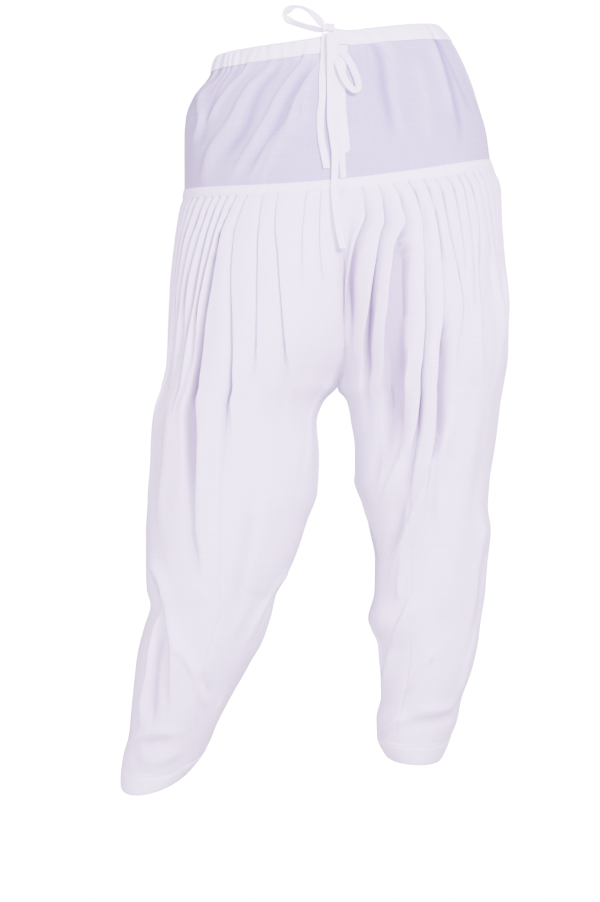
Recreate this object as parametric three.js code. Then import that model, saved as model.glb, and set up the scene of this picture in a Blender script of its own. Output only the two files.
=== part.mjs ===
// A cotton salwar as it hangs when worn: drawstring waist, plain yoke, pleated legs, faced hems.
// Millimetres, +Z up. The front faces -Y and the wearer's left is +X. The origin is the middle of the
// waist ring, level with its top edge. "down" is the distance below that level along the centre line.
import * as THREE from 'three';

// Driving sizes of the cut.
const YOKE_DEPTH = 173.5;
const CROTCH_DOWN = 452;
const CASING_HEIGHT = 21;
const BAND_HEIGHT = 13;
const HEM_HEIGHT = 26;
const HEM_DOWN = { right: 952, left: 928 };
const SEAM_GAP = 0.3;

// Walls: single cloth, cloth folded double, and the gathered tunnel with the tape in it.
const SINGLE_WALL = 1.4;
const DOUBLE_WALL = 2.4;
const CASING_WALL = 4;
const CASING_LIFT = 1.5;
const BAND_LIFT = 0.8;
const CASING_MOUTH = 3;
const HEM_LIFT = 0.5;
const PLACKET_WALL = 1.2;

// Cotton tape of the drawstring.
const TAPE_WIDTH = 9;
const TAPE_THICKNESS = 1.8;
const KNOT_SIZE = { width: 12, depth: 9, height: 11.5 };

const RIGHT = -1;
const LEFT = 1;
const FRONT = -1;
const BACK = 1;

const white = (name, color, roughness = 0.9) => {
  const material = new THREE.MeshStandardMaterial({ color, roughness, metalness: 0 });
  material.name = name;
  return material;
};
const SHEER_COTTON = 0xdcd7ea;
const PLAIN_COTTON = 0xece8f4;
const DOUBLE_COTTON = 0xf4f1f9;

const smoothstep = (from, to, value) => {
  const t = Math.min(1, Math.max(0, (value - from) / (to - from)));
  return t * t * (3 - 2 * t);
};

// A smooth curve through points that never overshoots them (monotone cubic).
function smoothCurve(xs, ys) {
  const steps = xs.slice(1).map((x, i) => x - xs[i]);
  const slopes = steps.map((step, i) => (ys[i + 1] - ys[i]) / step);
  const tangents = xs.map((_, i) => {
    if (i === 0) return slopes[0];
    if (i === xs.length - 1) return slopes[i - 1];
    const [before, after] = [slopes[i - 1], slopes[i]];
    if (before * after <= 0) return 0;
    const nearBefore = 2 * steps[i] + steps[i - 1];
    const nearAfter = steps[i] + 2 * steps[i - 1];
    return (nearBefore + nearAfter) / (nearBefore / before + nearAfter / after);
  });
  return (x) => {
    const held = Math.min(xs[xs.length - 1], Math.max(xs[0], x));
    let i = 0;
    while (i < steps.length - 1 && held > xs[i + 1]) i += 1;
    const t = (held - xs[i]) / steps[i];
    return (2 * t ** 3 - 3 * t ** 2 + 1) * ys[i] + (t ** 3 - 2 * t ** 2 + t) * steps[i] * tangents[i]
      + (3 * t ** 2 - 2 * t ** 3) * ys[i + 1] + (t ** 3 - t ** 2) * steps[i] * tangents[i + 1];
  };
}

// Turns a table with a row per level into one smooth curve for each named column.
function curvesOf(columns, rows) {
  const levels = rows.map((row) => row[0]);
  const curves = {};
  columns.slice(1).forEach((column, i) => {
    curves[column] = smoothCurve(levels, rows.map((row) => row[i + 1]));
  });
  return curves;
}

// Trunk, from waist to crotch. "mid" is the centre seam, "right" and "left" the outermost cloth, "front"
// and "back" the foremost and rearmost. The hips stand over one side: "tilt" is how far the left side
// rises and the right side drops. The two dips say how far the cloth sags on each side of the front slit.
const TRUNK = curvesOf(
  ['down', 'mid', 'right', 'left', 'tilt', 'front', 'back', 'dipRight', 'dipLeft'],
  [
    [0, 0, -143, 143, 20, -98, 98, 7.5, 4],
    [26, 6, -153, 165, 20, -104, 110, 7, 2],
    [52, 4, -174, 179, 20, -110, 124, 8, 5],
    [78, 4, -184, 189, 20, -117, 136, 11, 9],
    [104, 6, -186, 198, 20, -123, 145, 13, 13],
    [138, 11, -186, 208, 20, -129, 152, 16, 16],
    [173.5, 14, -186, 213, 19.5, -133, 156, 18, 18],
    [209, 15, -191, 224, 16.5, -137, 158, 16, 16],
    [244, 17, -196, 225, 14.5, -140, 158, 13, 13],
    [298, 21, -201, 229, 11.5, -142, 155, 9, 9],
    [360, 23, -204, 236, 8, -142, 150, 5, 5],
    [413, 21, -209, 235, 5, -140, 143, 2, 2],
    [452, 13, -216, 229, 1, -137, 136, 0, 0],
  ],
);

// Legs, from crotch to hem. "inner" and "outer" are the leg's two side lines, "cant" is half the height
// by which the inner line stands above the outer one, and "pitch" is the rise of a ring from front to back.
const LEG_COLUMNS = ['down', 'inner', 'outer', 'cant', 'front', 'back', 'pitch'];
const LEG = {
  [RIGHT]: curvesOf(LEG_COLUMNS, [
    [452, 13, -216, 1, -137, 136, 0],
    [473, -5, -224, 3.5, -136, 130, 0],
    [500, -13, -227, 5, -135, 127, 0],
    [544, -10, -229, 6, -134, 122, 0],
    [590, -12, -233, 6.5, -132, 115, 0],
    [631, -26, -235, 6.5, -130, 106, 0],
    [672, -39, -235, 8, -127, 98, 0.02],
    [705, -55, -234, 5, -122, 92, 0.04],
    [723, -65, -229, 7, -118, 90, 0.06],
    [750, -71, -237, 8.5, -112, 90, 0.1],
    [783, -82, -246, 8.5, -103, 92, 0.14],
    [818, -100, -251, 11.5, -92, 92, 0.18],
    [855, -121, -255, 11.5, -80, 88, 0.23],
    [891, -140, -259, 11.5, -66, 82, 0.28],
    [920, -153, -266, 10, -54, 74, 0.32],
    [952, -173, -269, 15, -44, 64, 0.35],
  ]),
  [LEFT]: curvesOf(LEG_COLUMNS, [
    [452, 13, 229, -1, -137, 136, 0],
    [466, 25, 226, 0, -134, 130, 0],
    [492, 31, 222, 0, -132, 126, 0],
    [527, 36, 217, 2, -130, 121, 0],
    [570, 36, 211, 2, -126, 114, 0],
    [605, 48, 209, 1, -122, 108, 0],
    [635, 55, 212, 0, -118, 103, 0],
    [675, 62, 208, 1, -112, 98, 0.01],
    [716, 61, 205, 0, -106, 96, 0.02],
    [750, 53, 200, 0, -100, 95, 0.03],
    [781, 66, 196, 0, -95, 93, 0.04],
    [820, 69, 187, 0, -88, 88, 0.05],
    [852, 70, 176, 0, -80, 83, 0.06],
    [880, 64, 170, 0, -74, 79, 0.07],
    [902, 65, 161, 0, -69, 74, 0.08],
    [928, 75, 149, 2, -60, 64, 0.1],
  ]),
};

// Pleats of a leg's front, from the centre seam out to the side. The first five columns say how far each
// folded edge lies from the side line, along the cloth, at five levels. "crest" is how far the edge stands
// out, "hollow" how deep the cloth drops just outward of it, and "reach" how far below the seam it fades.
const PLEAT_LEVELS = [187, 290, 440, 600, 930];
const PLEAT_COLUMNS = ['seam', 'thigh', 'crotch', 'knee', 'hem', 'crest', 'hollow', 'reach'];
const PLEATS = {
  [RIGHT]: [
    [254, 274, 312, 330, 188, 5, 5, 250],
    [236, 250, 280, 300, 175, 4, 4, 180],
    [198, 219, 248, 268, 162, 8, 8, 350],
    [175, 193, 210, 232, 149, 8, 8, 340],
    [155, 156, 183, 190, 136, 9, 11, 500],
    [138, 141, 152, 164, 124, 7, 6, 230],
    [125, 131, 136, 138, 112, 10, 15, 480],
    [113, 113, 106, 108, 100, 8, 8, 290],
    [100, 88, 80, 86, 88, 8, 8, 210],
    [88, 76, 66, 72, 76, 6, 6, 170],
    [73, 64, 55, 60, 64, 6, 8, 170],
    [61, 52, 44, 48, 52, 5, 5, 130],
    [48, 40, 33, 36, 40, 5, 6, 150],
    [34, 27, 22, 24, 28, 3, 3, 90],
    [14, 11, 9, 10, 14, 2, 2, 80],
  ],
  [LEFT]: [
    [251, 281, 316, 286, 170, 6, 11, 220],
    [229, 256, 288, 258, 156, 8, 12, 330],
    [211, 236, 226, 224, 142, 9, 17, 350],
    [190, 194, 207, 196, 129, 8, 9, 450],
    [167, 172, 168, 162, 116, 9, 10, 420],
    [152, 145, 149, 142, 104, 7, 8, 280],
    [135, 128, 130, 124, 92, 5, 5, 150],
    [118, 113, 112, 108, 81, 5, 5, 150],
    [104, 97, 98, 92, 70, 6, 9, 250],
    [90, 83, 83, 77, 59, 5, 5, 130],
    [76, 70, 68, 63, 49, 6, 8, 230],
    [60, 55, 53, 49, 39, 5, 6, 150],
    [44, 41, 38, 35, 29, 5, 6, 170],
    [27, 26, 24, 22, 19, 3, 3, 90],
    [10, 10, 9, 9, 9, 2, 2, 80],
  ],
};
const PLEAT_COUNT = PLEATS[RIGHT].length;

// The seam between the main panel and the inner panel (kali) runs in the hollow outward of this pleat.
const KALI_PLEAT = { [RIGHT]: 5, [LEFT]: 4 };

// Just under the seam a pleat is still pressed flat; it opens to its full depth over this distance.
const PRESSED_CREST = 1.3;
const PLEAT_OPENS_OVER = 60;
const FADES_FROM = 0.6;

// Across one pleat, the hollow lies at this share from the folded edge: close by at the seam, half-way
// where the pleat has become a soft wave.
const HOLLOW_AT_SEAM = 0.2;
const HOLLOW_BELOW = 0.45;
const HOLLOW_SHIFTS_OVER = 200;

// Drag folds. Each follows three points, given as the distance down and the distance from the side line.
const FOLD_COLUMNS = ['side', 'half', 'rise', 'width', 'down0', 'along0', 'down1', 'along1', 'down2', 'along2'];
const LEG_FOLDS = [
  [RIGHT, FRONT, 7, 15, 640, 60, 736, 86, 872, 108],
  [RIGHT, FRONT, -7, 15, 650, 60, 770, 88, 860, 80],
  [RIGHT, FRONT, 5, 13, 716, 78, 790, 72, 884, 50],
  [RIGHT, FRONT, 6, 14, 752, 112, 800, 134, 866, 158],
  [RIGHT, FRONT, 5, 15, 640, 156, 684, 142, 726, 130],
  [RIGHT, FRONT, -8, 18, 480, 127, 590, 127, 664, 92],
  [RIGHT, BACK, 7, 20, 600, 120, 690, 160, 790, 190],
  [RIGHT, BACK, -6, 18, 620, 90, 700, 118, 800, 150],
  [RIGHT, BACK, 6, 15, 780, 60, 830, 100, 880, 150],
  [LEFT, FRONT, 7, 18, 510, 153, 600, 171, 730, 226],
  [LEFT, FRONT, -6, 15, 450, 203, 580, 193, 700, 240],
  [LEFT, FRONT, 5, 14, 520, 200, 560, 212, 620, 257],
  [LEFT, FRONT, 5, 14, 690, 160, 756, 178, 830, 196],
  [LEFT, FRONT, 5, 26, 470, 109, 550, 107, 650, 110],
  [LEFT, BACK, 7, 20, 560, 110, 650, 140, 760, 180],
  [LEFT, BACK, -6, 16, 570, 140, 660, 172, 750, 210],
  [LEFT, BACK, 6, 15, 740, 50, 800, 80, 860, 120],
];
const YOKE_FOLDS = [
  [RIGHT, FRONT, 3, 14, 0, 164, 84, 172, 173, 121],
  [RIGHT, FRONT, -2, 12, 20, 184, 98, 186, 173, 137],
  [RIGHT, FRONT, 2.5, 13, 20, 196, 94, 210, 173, 160],
  [RIGHT, FRONT, 3, 16, 10, 130, 90, 118, 173, 75],
  [RIGHT, FRONT, 3, 13, 30, 58, 90, 66, 150, 42],
  [LEFT, FRONT, -2.5, 12, 10, 152, 78, 180, 140, 196],
  [LEFT, FRONT, 2.5, 12, 10, 132, 70, 160, 140, 182],
  [LEFT, FRONT, -3, 10, 0, 50, 70, 72, 160, 100],
  [LEFT, FRONT, -2.5, 9, 0, 40, 60, 58, 130, 50],
  [RIGHT, BACK, 3, 12, 0, 60, 80, 80, 173, 70],
  [RIGHT, BACK, 3, 14, 0, 130, 80, 150, 173, 160],
  [LEFT, BACK, 3, 14, 0, 90, 80, 115, 173, 130],
  [LEFT, BACK, -3, 12, 0, 140, 80, 170, 173, 190],
];
const FOLD_FADE = 0.22;

// Small gathers that the drawstring makes, strongest in the casing.
const GATHER_RISE = 0.9;
const GATHER_PITCH = 32;
const GATHER_REACH = 60;

// Beside the slit the facing keeps the cloth flat: gathers and folds calm down over this distance.
const CALM_FROM = 40;
const CALM_WITHIN = 15;
const CALM_FOLD_SHARE = 0.3;

// The knot pulls up the casing's two ends at the slit.
const MOUTH_LIFT = { right: 1, left: 7 };
const MOUTH_LIFT_WIDTH = 18;

function foldsOf(rows) {
  return rows.map((row) => {
    const fold = Object.fromEntries(FOLD_COLUMNS.map((column, i) => [column, row[i]]));
    const downs = [fold.down0, fold.down1, fold.down2];
    fold.along = smoothCurve(downs, [fold.along0, fold.along1, fold.along2]);
    fold.fade = (fold.down2 - fold.down0) * FOLD_FADE;
    return fold;
  });
}
const legFolds = foldsOf(LEG_FOLDS);
const yokeFolds = foldsOf(YOKE_FOLDS);

function foldHeight(folds, side, half, down, along) {
  let height = 0;
  for (const fold of folds) {
    if (fold.side !== side || fold.half !== half) continue;
    const startsAtTop = fold.down0 <= 0;
    const endsInSeam = Math.abs(fold.down2 - YOKE_DEPTH) < 1;
    const fadeIn = startsAtTop ? 1 : smoothstep(fold.down0, fold.down0 + fold.fade, down);
    const fadeOut = endsInSeam ? 1 : 1 - smoothstep(fold.down2 - fold.fade, fold.down2, down);
    const off = (along - fold.along(down)) / fold.width;
    height += fold.rise * fadeIn * fadeOut * Math.exp(-off * off);
  }
  return height;
}

// One level of one leg, or of one side of the trunk: an ellipse that is open towards the other leg above
// the crotch. "fork" is the angle at which the cloth meets the centre seam; the side line is at 180 degrees.
function section(side, down) {
  const inTrunk = down <= CROTCH_DOWN;
  const levels = inTrunk ? TRUNK : LEG[side];
  const inner = inTrunk ? TRUNK.mid(down) + side * SEAM_GAP / 2 : levels.inner(down);
  const outer = inTrunk ? levels[side === RIGHT ? 'right' : 'left'](down) : levels.outer(down);
  const tilt = inTrunk ? side * levels.tilt(down) : -levels.cant(down);
  const opened = Math.max(0, (down - YOKE_DEPTH) / (CROTCH_DOWN - YOKE_DEPTH));
  const fork = inTrunk ? Math.asin(Math.sqrt(Math.max(0, 1 - opened ** 3))) : 0;
  const halfWidth = (outer - inner) / (1 + Math.cos(fork));
  return {
    fork,
    halfWidth,
    centreX: outer - halfWidth,
    centreY: (levels.front(down) + levels.back(down)) / 2,
    halfDepth: (levels.back(down) - levels.front(down)) / 2,
    inner,
    outer,
    innerZ: inTrunk ? -down : -down + levels.cant(down),
    outerZ: -down + tilt,
    dipFront: inTrunk ? levels[side === RIGHT ? 'dipRight' : 'dipLeft'](down) : 0,
    dipBack: inTrunk ? (levels.dipRight(down) + levels.dipLeft(down)) / 2 : 0,
    pitch: inTrunk ? 0 : levels.pitch(down),
  };
}

function pointAt(level, half, angle) {
  const x = level.centreX - level.halfWidth * Math.cos(angle);
  const y = level.centreY + half * level.halfDepth * Math.sin(angle);
  const share = (x - level.inner) / (level.outer - level.inner);
  const dip = half === FRONT ? level.dipFront : level.dipBack;
  const z = level.innerZ + (level.outerZ - level.innerZ) * share
    + level.pitch * (y - level.centreY) - dip * Math.sin(angle) ** 2;
  const normal = new THREE.Vector3(
    -Math.cos(angle) / level.halfWidth,
    half * Math.sin(angle) / level.halfDepth,
    0,
  ).normalize();
  return { point: new THREE.Vector3(x, y, z), normal };
}

// Front or back half of a level, measured along the cloth from the side line to the centre or inner seam.
const ARC_STEPS = 96;
const arcs = new Map();
function arcOf(side, half, down) {
  const key = `${side} ${half} ${down.toFixed(3)}`;
  if (arcs.has(key)) return arcs.get(key);
  const level = section(side, down);
  const lengths = [0];
  let last = pointAt(level, half, Math.PI).point;
  for (let i = 1; i <= ARC_STEPS; i += 1) {
    const angle = Math.PI + (level.fork - Math.PI) * i / ARC_STEPS;
    const next = pointAt(level, half, angle).point;
    lengths.push(lengths[i - 1] + last.distanceTo(next));
    last = next;
  }
  const arc = { level, lengths, length: lengths[ARC_STEPS] };
  arcs.set(key, arc);
  return arc;
}

function onCloth(side, half, down, along) {
  const arc = arcOf(side, half, down);
  const held = Math.min(arc.length, Math.max(0, along));
  let i = 0;
  while (i < ARC_STEPS - 1 && arc.lengths[i + 1] < held) i += 1;
  const t = i + (held - arc.lengths[i]) / (arc.lengths[i + 1] - arc.lengths[i]);
  const angle = Math.PI + (arc.level.fork - Math.PI) * t / ARC_STEPS;
  return pointAt(arc.level, half, angle);
}

// The back is pleated like the front, with the two sides' pleats swapped so that no two quarters match.
const pleatsOf = (side, half) => (half === FRONT ? side : -side);
const pleatCurves = {};
for (const side of [RIGHT, LEFT]) {
  pleatCurves[side] = PLEATS[side].map((row) => {
    const pleat = Object.fromEntries(PLEAT_COLUMNS.map((column, i) => [column, row[i]]));
    pleat.along = smoothCurve(PLEAT_LEVELS, row.slice(0, PLEAT_LEVELS.length));
    return pleat;
  });
}

// Place of a column along the cloth. Column 0 is the centre or inner seam, columns 1 to PLEAT_COUNT are the
// folded edges, and the next whole one is the side line. A fraction of 1/3 is the hollow after an edge.
function edgeAlong(side, half, down, index) {
  const arc = arcOf(side, half, down);
  if (index <= 0) return arc.length;
  if (index > PLEAT_COUNT) return 0;
  const table = pleatsOf(side, half);
  const drawn = arcOf(table, FRONT, down).length;
  return pleatCurves[table][index - 1].along(down) * arc.length / drawn;
}

const HOLLOW_COLUMN = 1 / 3;
function columnAlong(side, half, down, column) {
  const index = Math.floor(column);
  const part = column - index;
  const start = edgeAlong(side, half, down, index);
  if (part === 0) return start;
  const end = edgeAlong(side, half, down, index + 1);
  const shift = smoothstep(0, HOLLOW_SHIFTS_OVER, down - PLEAT_LEVELS[0]);
  const hollow = HOLLOW_AT_SEAM + (HOLLOW_BELOW - HOLLOW_AT_SEAM) * shift;
  const share = index === 0 ? part : part <= HOLLOW_COLUMN
    ? hollow * part / HOLLOW_COLUMN
    : hollow + (1 - hollow) * (part - HOLLOW_COLUMN) / (1 - HOLLOW_COLUMN);
  return start + (end - start) * share;
}

function pleatHeight(side, half, down, column) {
  const index = Math.floor(column);
  const part = column - index;
  const below = down - PLEAT_LEVELS[0];
  const opened = smoothstep(0, PLEAT_OPENS_OVER, below);
  const size = (i, name) => {
    if (i < 1 || i > PLEAT_COUNT) return 0;
    const pleat = pleatCurves[pleatsOf(side, half)][i - 1];
    const left = 1 - smoothstep(pleat.reach * FADES_FROM, pleat.reach, below);
    return (PRESSED_CREST + (pleat[name] - PRESSED_CREST) * opened) * left;
  };
  if (index === 0) return size(1, 'crest') * smoothstep(0.5, 1, part);
  const bottom = -size(index, 'hollow');
  if (part <= HOLLOW_COLUMN) {
    const top = size(index, 'crest');
    return top + (bottom - top) * smoothstep(0, HOLLOW_COLUMN, part);
  }
  const next = size(index + 1, 'crest');
  return bottom + (next - bottom) * smoothstep(HOLLOW_COLUMN, 1, part);
}

// A wall between an outer and an inner face. "rows" is a list of rows of columns, each with its place on
// the outer face and the direction out. Neighbouring rows may hold different numbers of columns.
function wallMesh(name, material, rows, thickness, closed = false) {
  const positions = [];
  const indices = [];
  const outer = [];
  const inner = [];
  const add = (point) => positions.push(point.x, point.y, point.z) / 3 - 1;
  for (const row of rows) {
    outer.push(row.map(({ point }) => add(point)));
    inner.push(row.map(({ point, normal }) => add(point.clone().addScaledVector(normal, -thickness))));
  }
  const quad = (a, b, c, d) => indices.push(a, b, c, a, c, d);
  const strip = (upper, lower, keysUp, keysDown, flip) => {
    let i = 0;
    let j = 0;
    while (i < upper.length - 1 || j < lower.length - 1) {
      const useUpper = j >= lower.length - 1
        || (i < upper.length - 1 && keysUp[i + 1] <= keysDown[j + 1]);
      const corners = useUpper ? [upper[i], lower[j], upper[i + 1]] : [upper[i], lower[j], lower[j + 1]];
      if (flip) corners.reverse();
      indices.push(...corners);
      if (useUpper) i += 1;
      else j += 1;
    }
  };
  const keysOf = (row) => (closed ? [...row.map(({ key }) => key), Infinity] : row.map(({ key }) => key));
  const ring = (list) => (closed ? [...list, list[0]] : list);
  for (let r = 0; r < rows.length - 1; r += 1) {
    const [up, low] = [keysOf(rows[r]), keysOf(rows[r + 1])];
    strip(ring(outer[r]), ring(outer[r + 1]), up, low, false);
    strip(ring(inner[r]), ring(inner[r + 1]), up, low, true);
    if (!closed) {
      const [last, nextLast] = [outer[r].length - 1, outer[r + 1].length - 1];
      quad(outer[r][0], inner[r][0], inner[r + 1][0], outer[r + 1][0]);
      quad(outer[r][last], outer[r + 1][nextLast], inner[r + 1][nextLast], inner[r][last]);
    }
  }
  for (const [r, flip] of [[0, false], [rows.length - 1, true]]) {
    const [out, into] = [ring(outer[r]), ring(inner[r])];
    for (let c = 0; c < out.length - 1; c += 1) {
      if (flip) quad(out[c], into[c], into[c + 1], out[c + 1]);
      else quad(out[c], out[c + 1], into[c + 1], into[c]);
    }
  }
  return solidMesh(name, material, positions, indices);
}

// Closes the mesh with its faces pointing out.
function solidMesh(name, material, positions, indices) {
  let volume = 0;
  const corner = (i) => new THREE.Vector3().fromArray(positions, indices[i] * 3);
  for (let i = 0; i < indices.length; i += 3) {
    volume += corner(i).dot(corner(i + 1).cross(corner(i + 2)));
  }
  if (volume < 0) indices.reverse();
  const geometry = new THREE.BufferGeometry();
  geometry.setAttribute('position', new THREE.Float32BufferAttribute(positions, 3));
  geometry.setIndex(indices);
  geometry.computeVertexNormals();
  const mesh = new THREE.Mesh(geometry, material);
  mesh.name = name;
  return mesh;
}

const part = new THREE.Group();

// --- Trunk: casing, yoke, placket and hip band ------------------------------------------------------

// Walks round the trunk from the right front edge, by the right side, the back and the left side, to the
// left front edge. "turn" counts quarters from 0 to 4.
function trunkPlace(turn, down, lift, inset = 0) {
  const side = turn <= 2 ? RIGHT : LEFT;
  const half = turn <= 1 || turn > 3 ? FRONT : BACK;
  const length = arcOf(side, half, down).length;
  const fromSide = side === RIGHT ? Math.abs(turn - 1) : Math.abs(turn - 3);
  const along = Math.min(length - inset, fromSide * length);
  const { point, normal } = onCloth(side, half, down, along);
  const gathered = 1 - smoothstep(0, GATHER_REACH, down);
  const calm = 1 - smoothstep(length - CALM_FROM, length - CALM_WITHIN, along);
  const wave = Math.cos(2 * Math.PI * along / GATHER_PITCH) * GATHER_RISE * gathered * calm;
  const foldShare = CALM_FOLD_SHARE + (1 - CALM_FOLD_SHARE) * calm;
  const height = foldHeight(yokeFolds, side, half, down, along) * foldShare + wave + lift;
  const offSlit = (length - along) / MOUTH_LIFT_WIDTH;
  const pull = half === FRONT ? MOUTH_LIFT[side === RIGHT ? 'right' : 'left'] : 0;
  point.z += pull * gathered * Math.exp(-offSlit * offSlit);
  return { key: turn, point: point.addScaledVector(normal, height), normal };
}

const spread = (from, to, count) => Array.from({ length: count + 1 }, (_, i) => from + (to - from) * i / count);

const CASING_COLUMNS = 84;
const casingRows = [0, CASING_HEIGHT / 2, CASING_HEIGHT].map((down) => spread(0, 4, CASING_COLUMNS)
  .map((turn) => trunkPlace(turn, down, CASING_LIFT, CASING_MOUTH / 2)));
part.add(wallMesh('waist_casing', white('casing cotton', DOUBLE_COTTON), casingRows, CASING_WALL));

const YOKE_ROWS = [CASING_HEIGHT + SEAM_GAP, 46, 78, 112, 146, YOKE_DEPTH];
const YOKE_PANELS = [
  ['yoke_front_right', 0, 1, 26],
  ['yoke_back', 1, 3, 38],
  ['yoke_front_left', 3, 4, 26],
];
const SIDE_SHARE = SEAM_GAP / 2 / arcOf(RIGHT, FRONT, YOKE_DEPTH / 2).length;
for (const [name, from, to, columns] of YOKE_PANELS) {
  const start = from === 0 ? 0 : from + SIDE_SHARE;
  const end = to === 4 ? 4 : to - SIDE_SHARE;
  const rows = YOKE_ROWS.map((down) => spread(start, end, columns)
    .map((turn) => trunkPlace(turn, down, 0, SEAM_GAP / 2)));
  part.add(wallMesh(name, white('yoke cotton', SHEER_COTTON), rows, SINGLE_WALL));
}

// The placket lies on the left front beside the slit. Its edges are distances from the slit.
const PLACKET_FOOT = 142;
const PLACKET = [
  [CASING_HEIGHT + 2, 0.8, 19],
  [46, 0.8, 19],
  [78, 0.8, 18.5],
  [112, 0.8, 18],
  [PLACKET_FOOT - 0.5, 0.8, 16],
  [PLACKET_FOOT, 1.5, 10],
  [YOKE_DEPTH - 1, 1.5, 9],
];
const placketRows = PLACKET.map(([down, near, far]) => spread(near, far, 4).map((fromSlit) => {
  const arc = arcOf(LEFT, FRONT, down);
  const along = arc.length - fromSlit;
  const place = trunkPlace(3 + along / arc.length, down, PLACKET_WALL + SEAM_GAP);
  return { ...place, key: fromSlit };
}));
part.add(wallMesh('placket', white('placket cotton', DOUBLE_COTTON), placketRows, PLACKET_WALL));

// The band of double cloth over the seam between yoke and legs.
const BAND_COLUMNS = 72;
const BAND_TOP = YOKE_DEPTH + SEAM_GAP;
const BAND_FOOT = YOKE_DEPTH + BAND_HEIGHT;
const bandRows = [BAND_TOP, BAND_FOOT].map((down) => spread(0, 4, BAND_COLUMNS).slice(0, -1)
  .map((turn) => trunkPlace(turn, down, BAND_LIFT)));
part.add(wallMesh('hip_band', white('band cotton', DOUBLE_COTTON), bandRows, DOUBLE_WALL, true));

// --- Legs -------------------------------------------------------------------------------------------

const LEG_TOP = BAND_FOOT + SEAM_GAP;
const FINE_LEVELS = [LEG_TOP, 208, 245, 295];
const MIDDLE_LEVELS = [340, 385, 426, CROTCH_DOWN, 496, 545];
const COARSE_START = 595;
const COARSE_STRIPS = 6;
const CENTRE_COLUMNS = [0, 0.25, 0.5, 0.75];
const FINE_PARTS = [0, HOLLOW_COLUMN, 2 / 3];
const MIDDLE_PARTS = [0, HOLLOW_COLUMN];
const COARSE_PARTS = [0];

function legLevels(side) {
  const hemTop = HEM_DOWN[side === RIGHT ? 'right' : 'left'] - HEM_HEIGHT - SEAM_GAP;
  return [
    ...FINE_LEVELS.map((down) => ({ down, parts: FINE_PARTS })),
    ...MIDDLE_LEVELS.map((down) => ({ down, parts: MIDDLE_PARTS })),
    ...spread(COARSE_START, hemTop, COARSE_STRIPS).map((down) => ({ down, parts: COARSE_PARTS })),
  ];
}

// Columns of one quarter between two limits. A limit keeps its column in every row.
function quarterColumns(parts, from, to) {
  const columns = [from, to];
  CENTRE_COLUMNS.forEach((column) => columns.push(column));
  for (let i = 1; i <= PLEAT_COUNT; i += 1) parts.forEach((share) => columns.push(i + share));
  columns.push(PLEAT_COUNT + 1);
  const wanted = columns.filter((column) => column >= from && column <= to).sort((a, b) => a - b);
  return wanted.filter((column, i) => i === 0 || column - wanted[i - 1] > 1e-6);
}

function legPlace(side, half, down, column, shift = 0) {
  const arc = arcOf(side, half, down);
  const along = Math.min(arc.length - SEAM_GAP / 2, columnAlong(side, half, down, column) + shift);
  const { point, normal } = onCloth(side, half, down, along);
  const height = pleatHeight(side, half, down, column) + foldHeight(legFolds, side, half, down, along);
  return { key: column, point: point.addScaledVector(normal, height), normal };
}

const SIDE_COLUMN = PLEAT_COUNT + 1;
for (const side of [RIGHT, LEFT]) {
  const suffix = side === RIGHT ? 'right' : 'left';
  const levels = legLevels(side);
  const kaliColumn = (half) => KALI_PLEAT[pleatsOf(side, half)] + HOLLOW_COLUMN;
  for (const [half, word] of [[FRONT, 'front'], [BACK, 'back']]) {
    const end = kaliColumn(half);
    const rows = levels.map(({ down, parts }) => quarterColumns(parts, 0, end)
      .map((column) => legPlace(side, half, down, column, column === end ? SEAM_GAP / 2 : 0)));
    part.add(wallMesh(`kali_${word}_${suffix}`, white('leg cotton', PLAIN_COTTON), rows, SINGLE_WALL));
  }
  const rows = levels.map(({ down, parts }) => [FRONT, BACK].flatMap((half) => {
    const start = kaliColumn(half);
    const columns = quarterColumns(parts, start, SIDE_COLUMN)
      .map((column) => legPlace(side, half, down, column, column === start ? -SEAM_GAP / 2 : 0));
    if (half === FRONT) return columns;
    return columns.reverse().slice(1).map((place) => ({ ...place, key: 2 * SIDE_COLUMN - place.key }));
  }));
  part.add(wallMesh(`leg_panel_${suffix}`, white('leg cotton', PLAIN_COTTON), rows, SINGLE_WALL));
}

// --- Hems -------------------------------------------------------------------------------------------

const HEM_COLUMNS = 18;
for (const side of [RIGHT, LEFT]) {
  const suffix = side === RIGHT ? 'right' : 'left';
  const foot = HEM_DOWN[suffix];
  const rows = [foot - HEM_HEIGHT, foot].map((down) => [FRONT, BACK].flatMap((half) => {
    const length = arcOf(side, half, down).length;
    const shares = spread(1, 0, HEM_COLUMNS).slice(0, -1);
    const ordered = half === FRONT ? shares : shares.map((share) => 1 - share);
    return ordered.map((share, i) => {
      const { point, normal } = onCloth(side, half, down, share * length);
      const key = half === FRONT ? i : i + HEM_COLUMNS;
      return { key, point: point.addScaledVector(normal, HEM_LIFT), normal };
    });
  }));
  part.add(wallMesh(`hem_band_${suffix}`, white('hem cotton', DOUBLE_COTTON), rows, DOUBLE_WALL, true));
}

// --- Drawstring -------------------------------------------------------------------------------------

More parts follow.
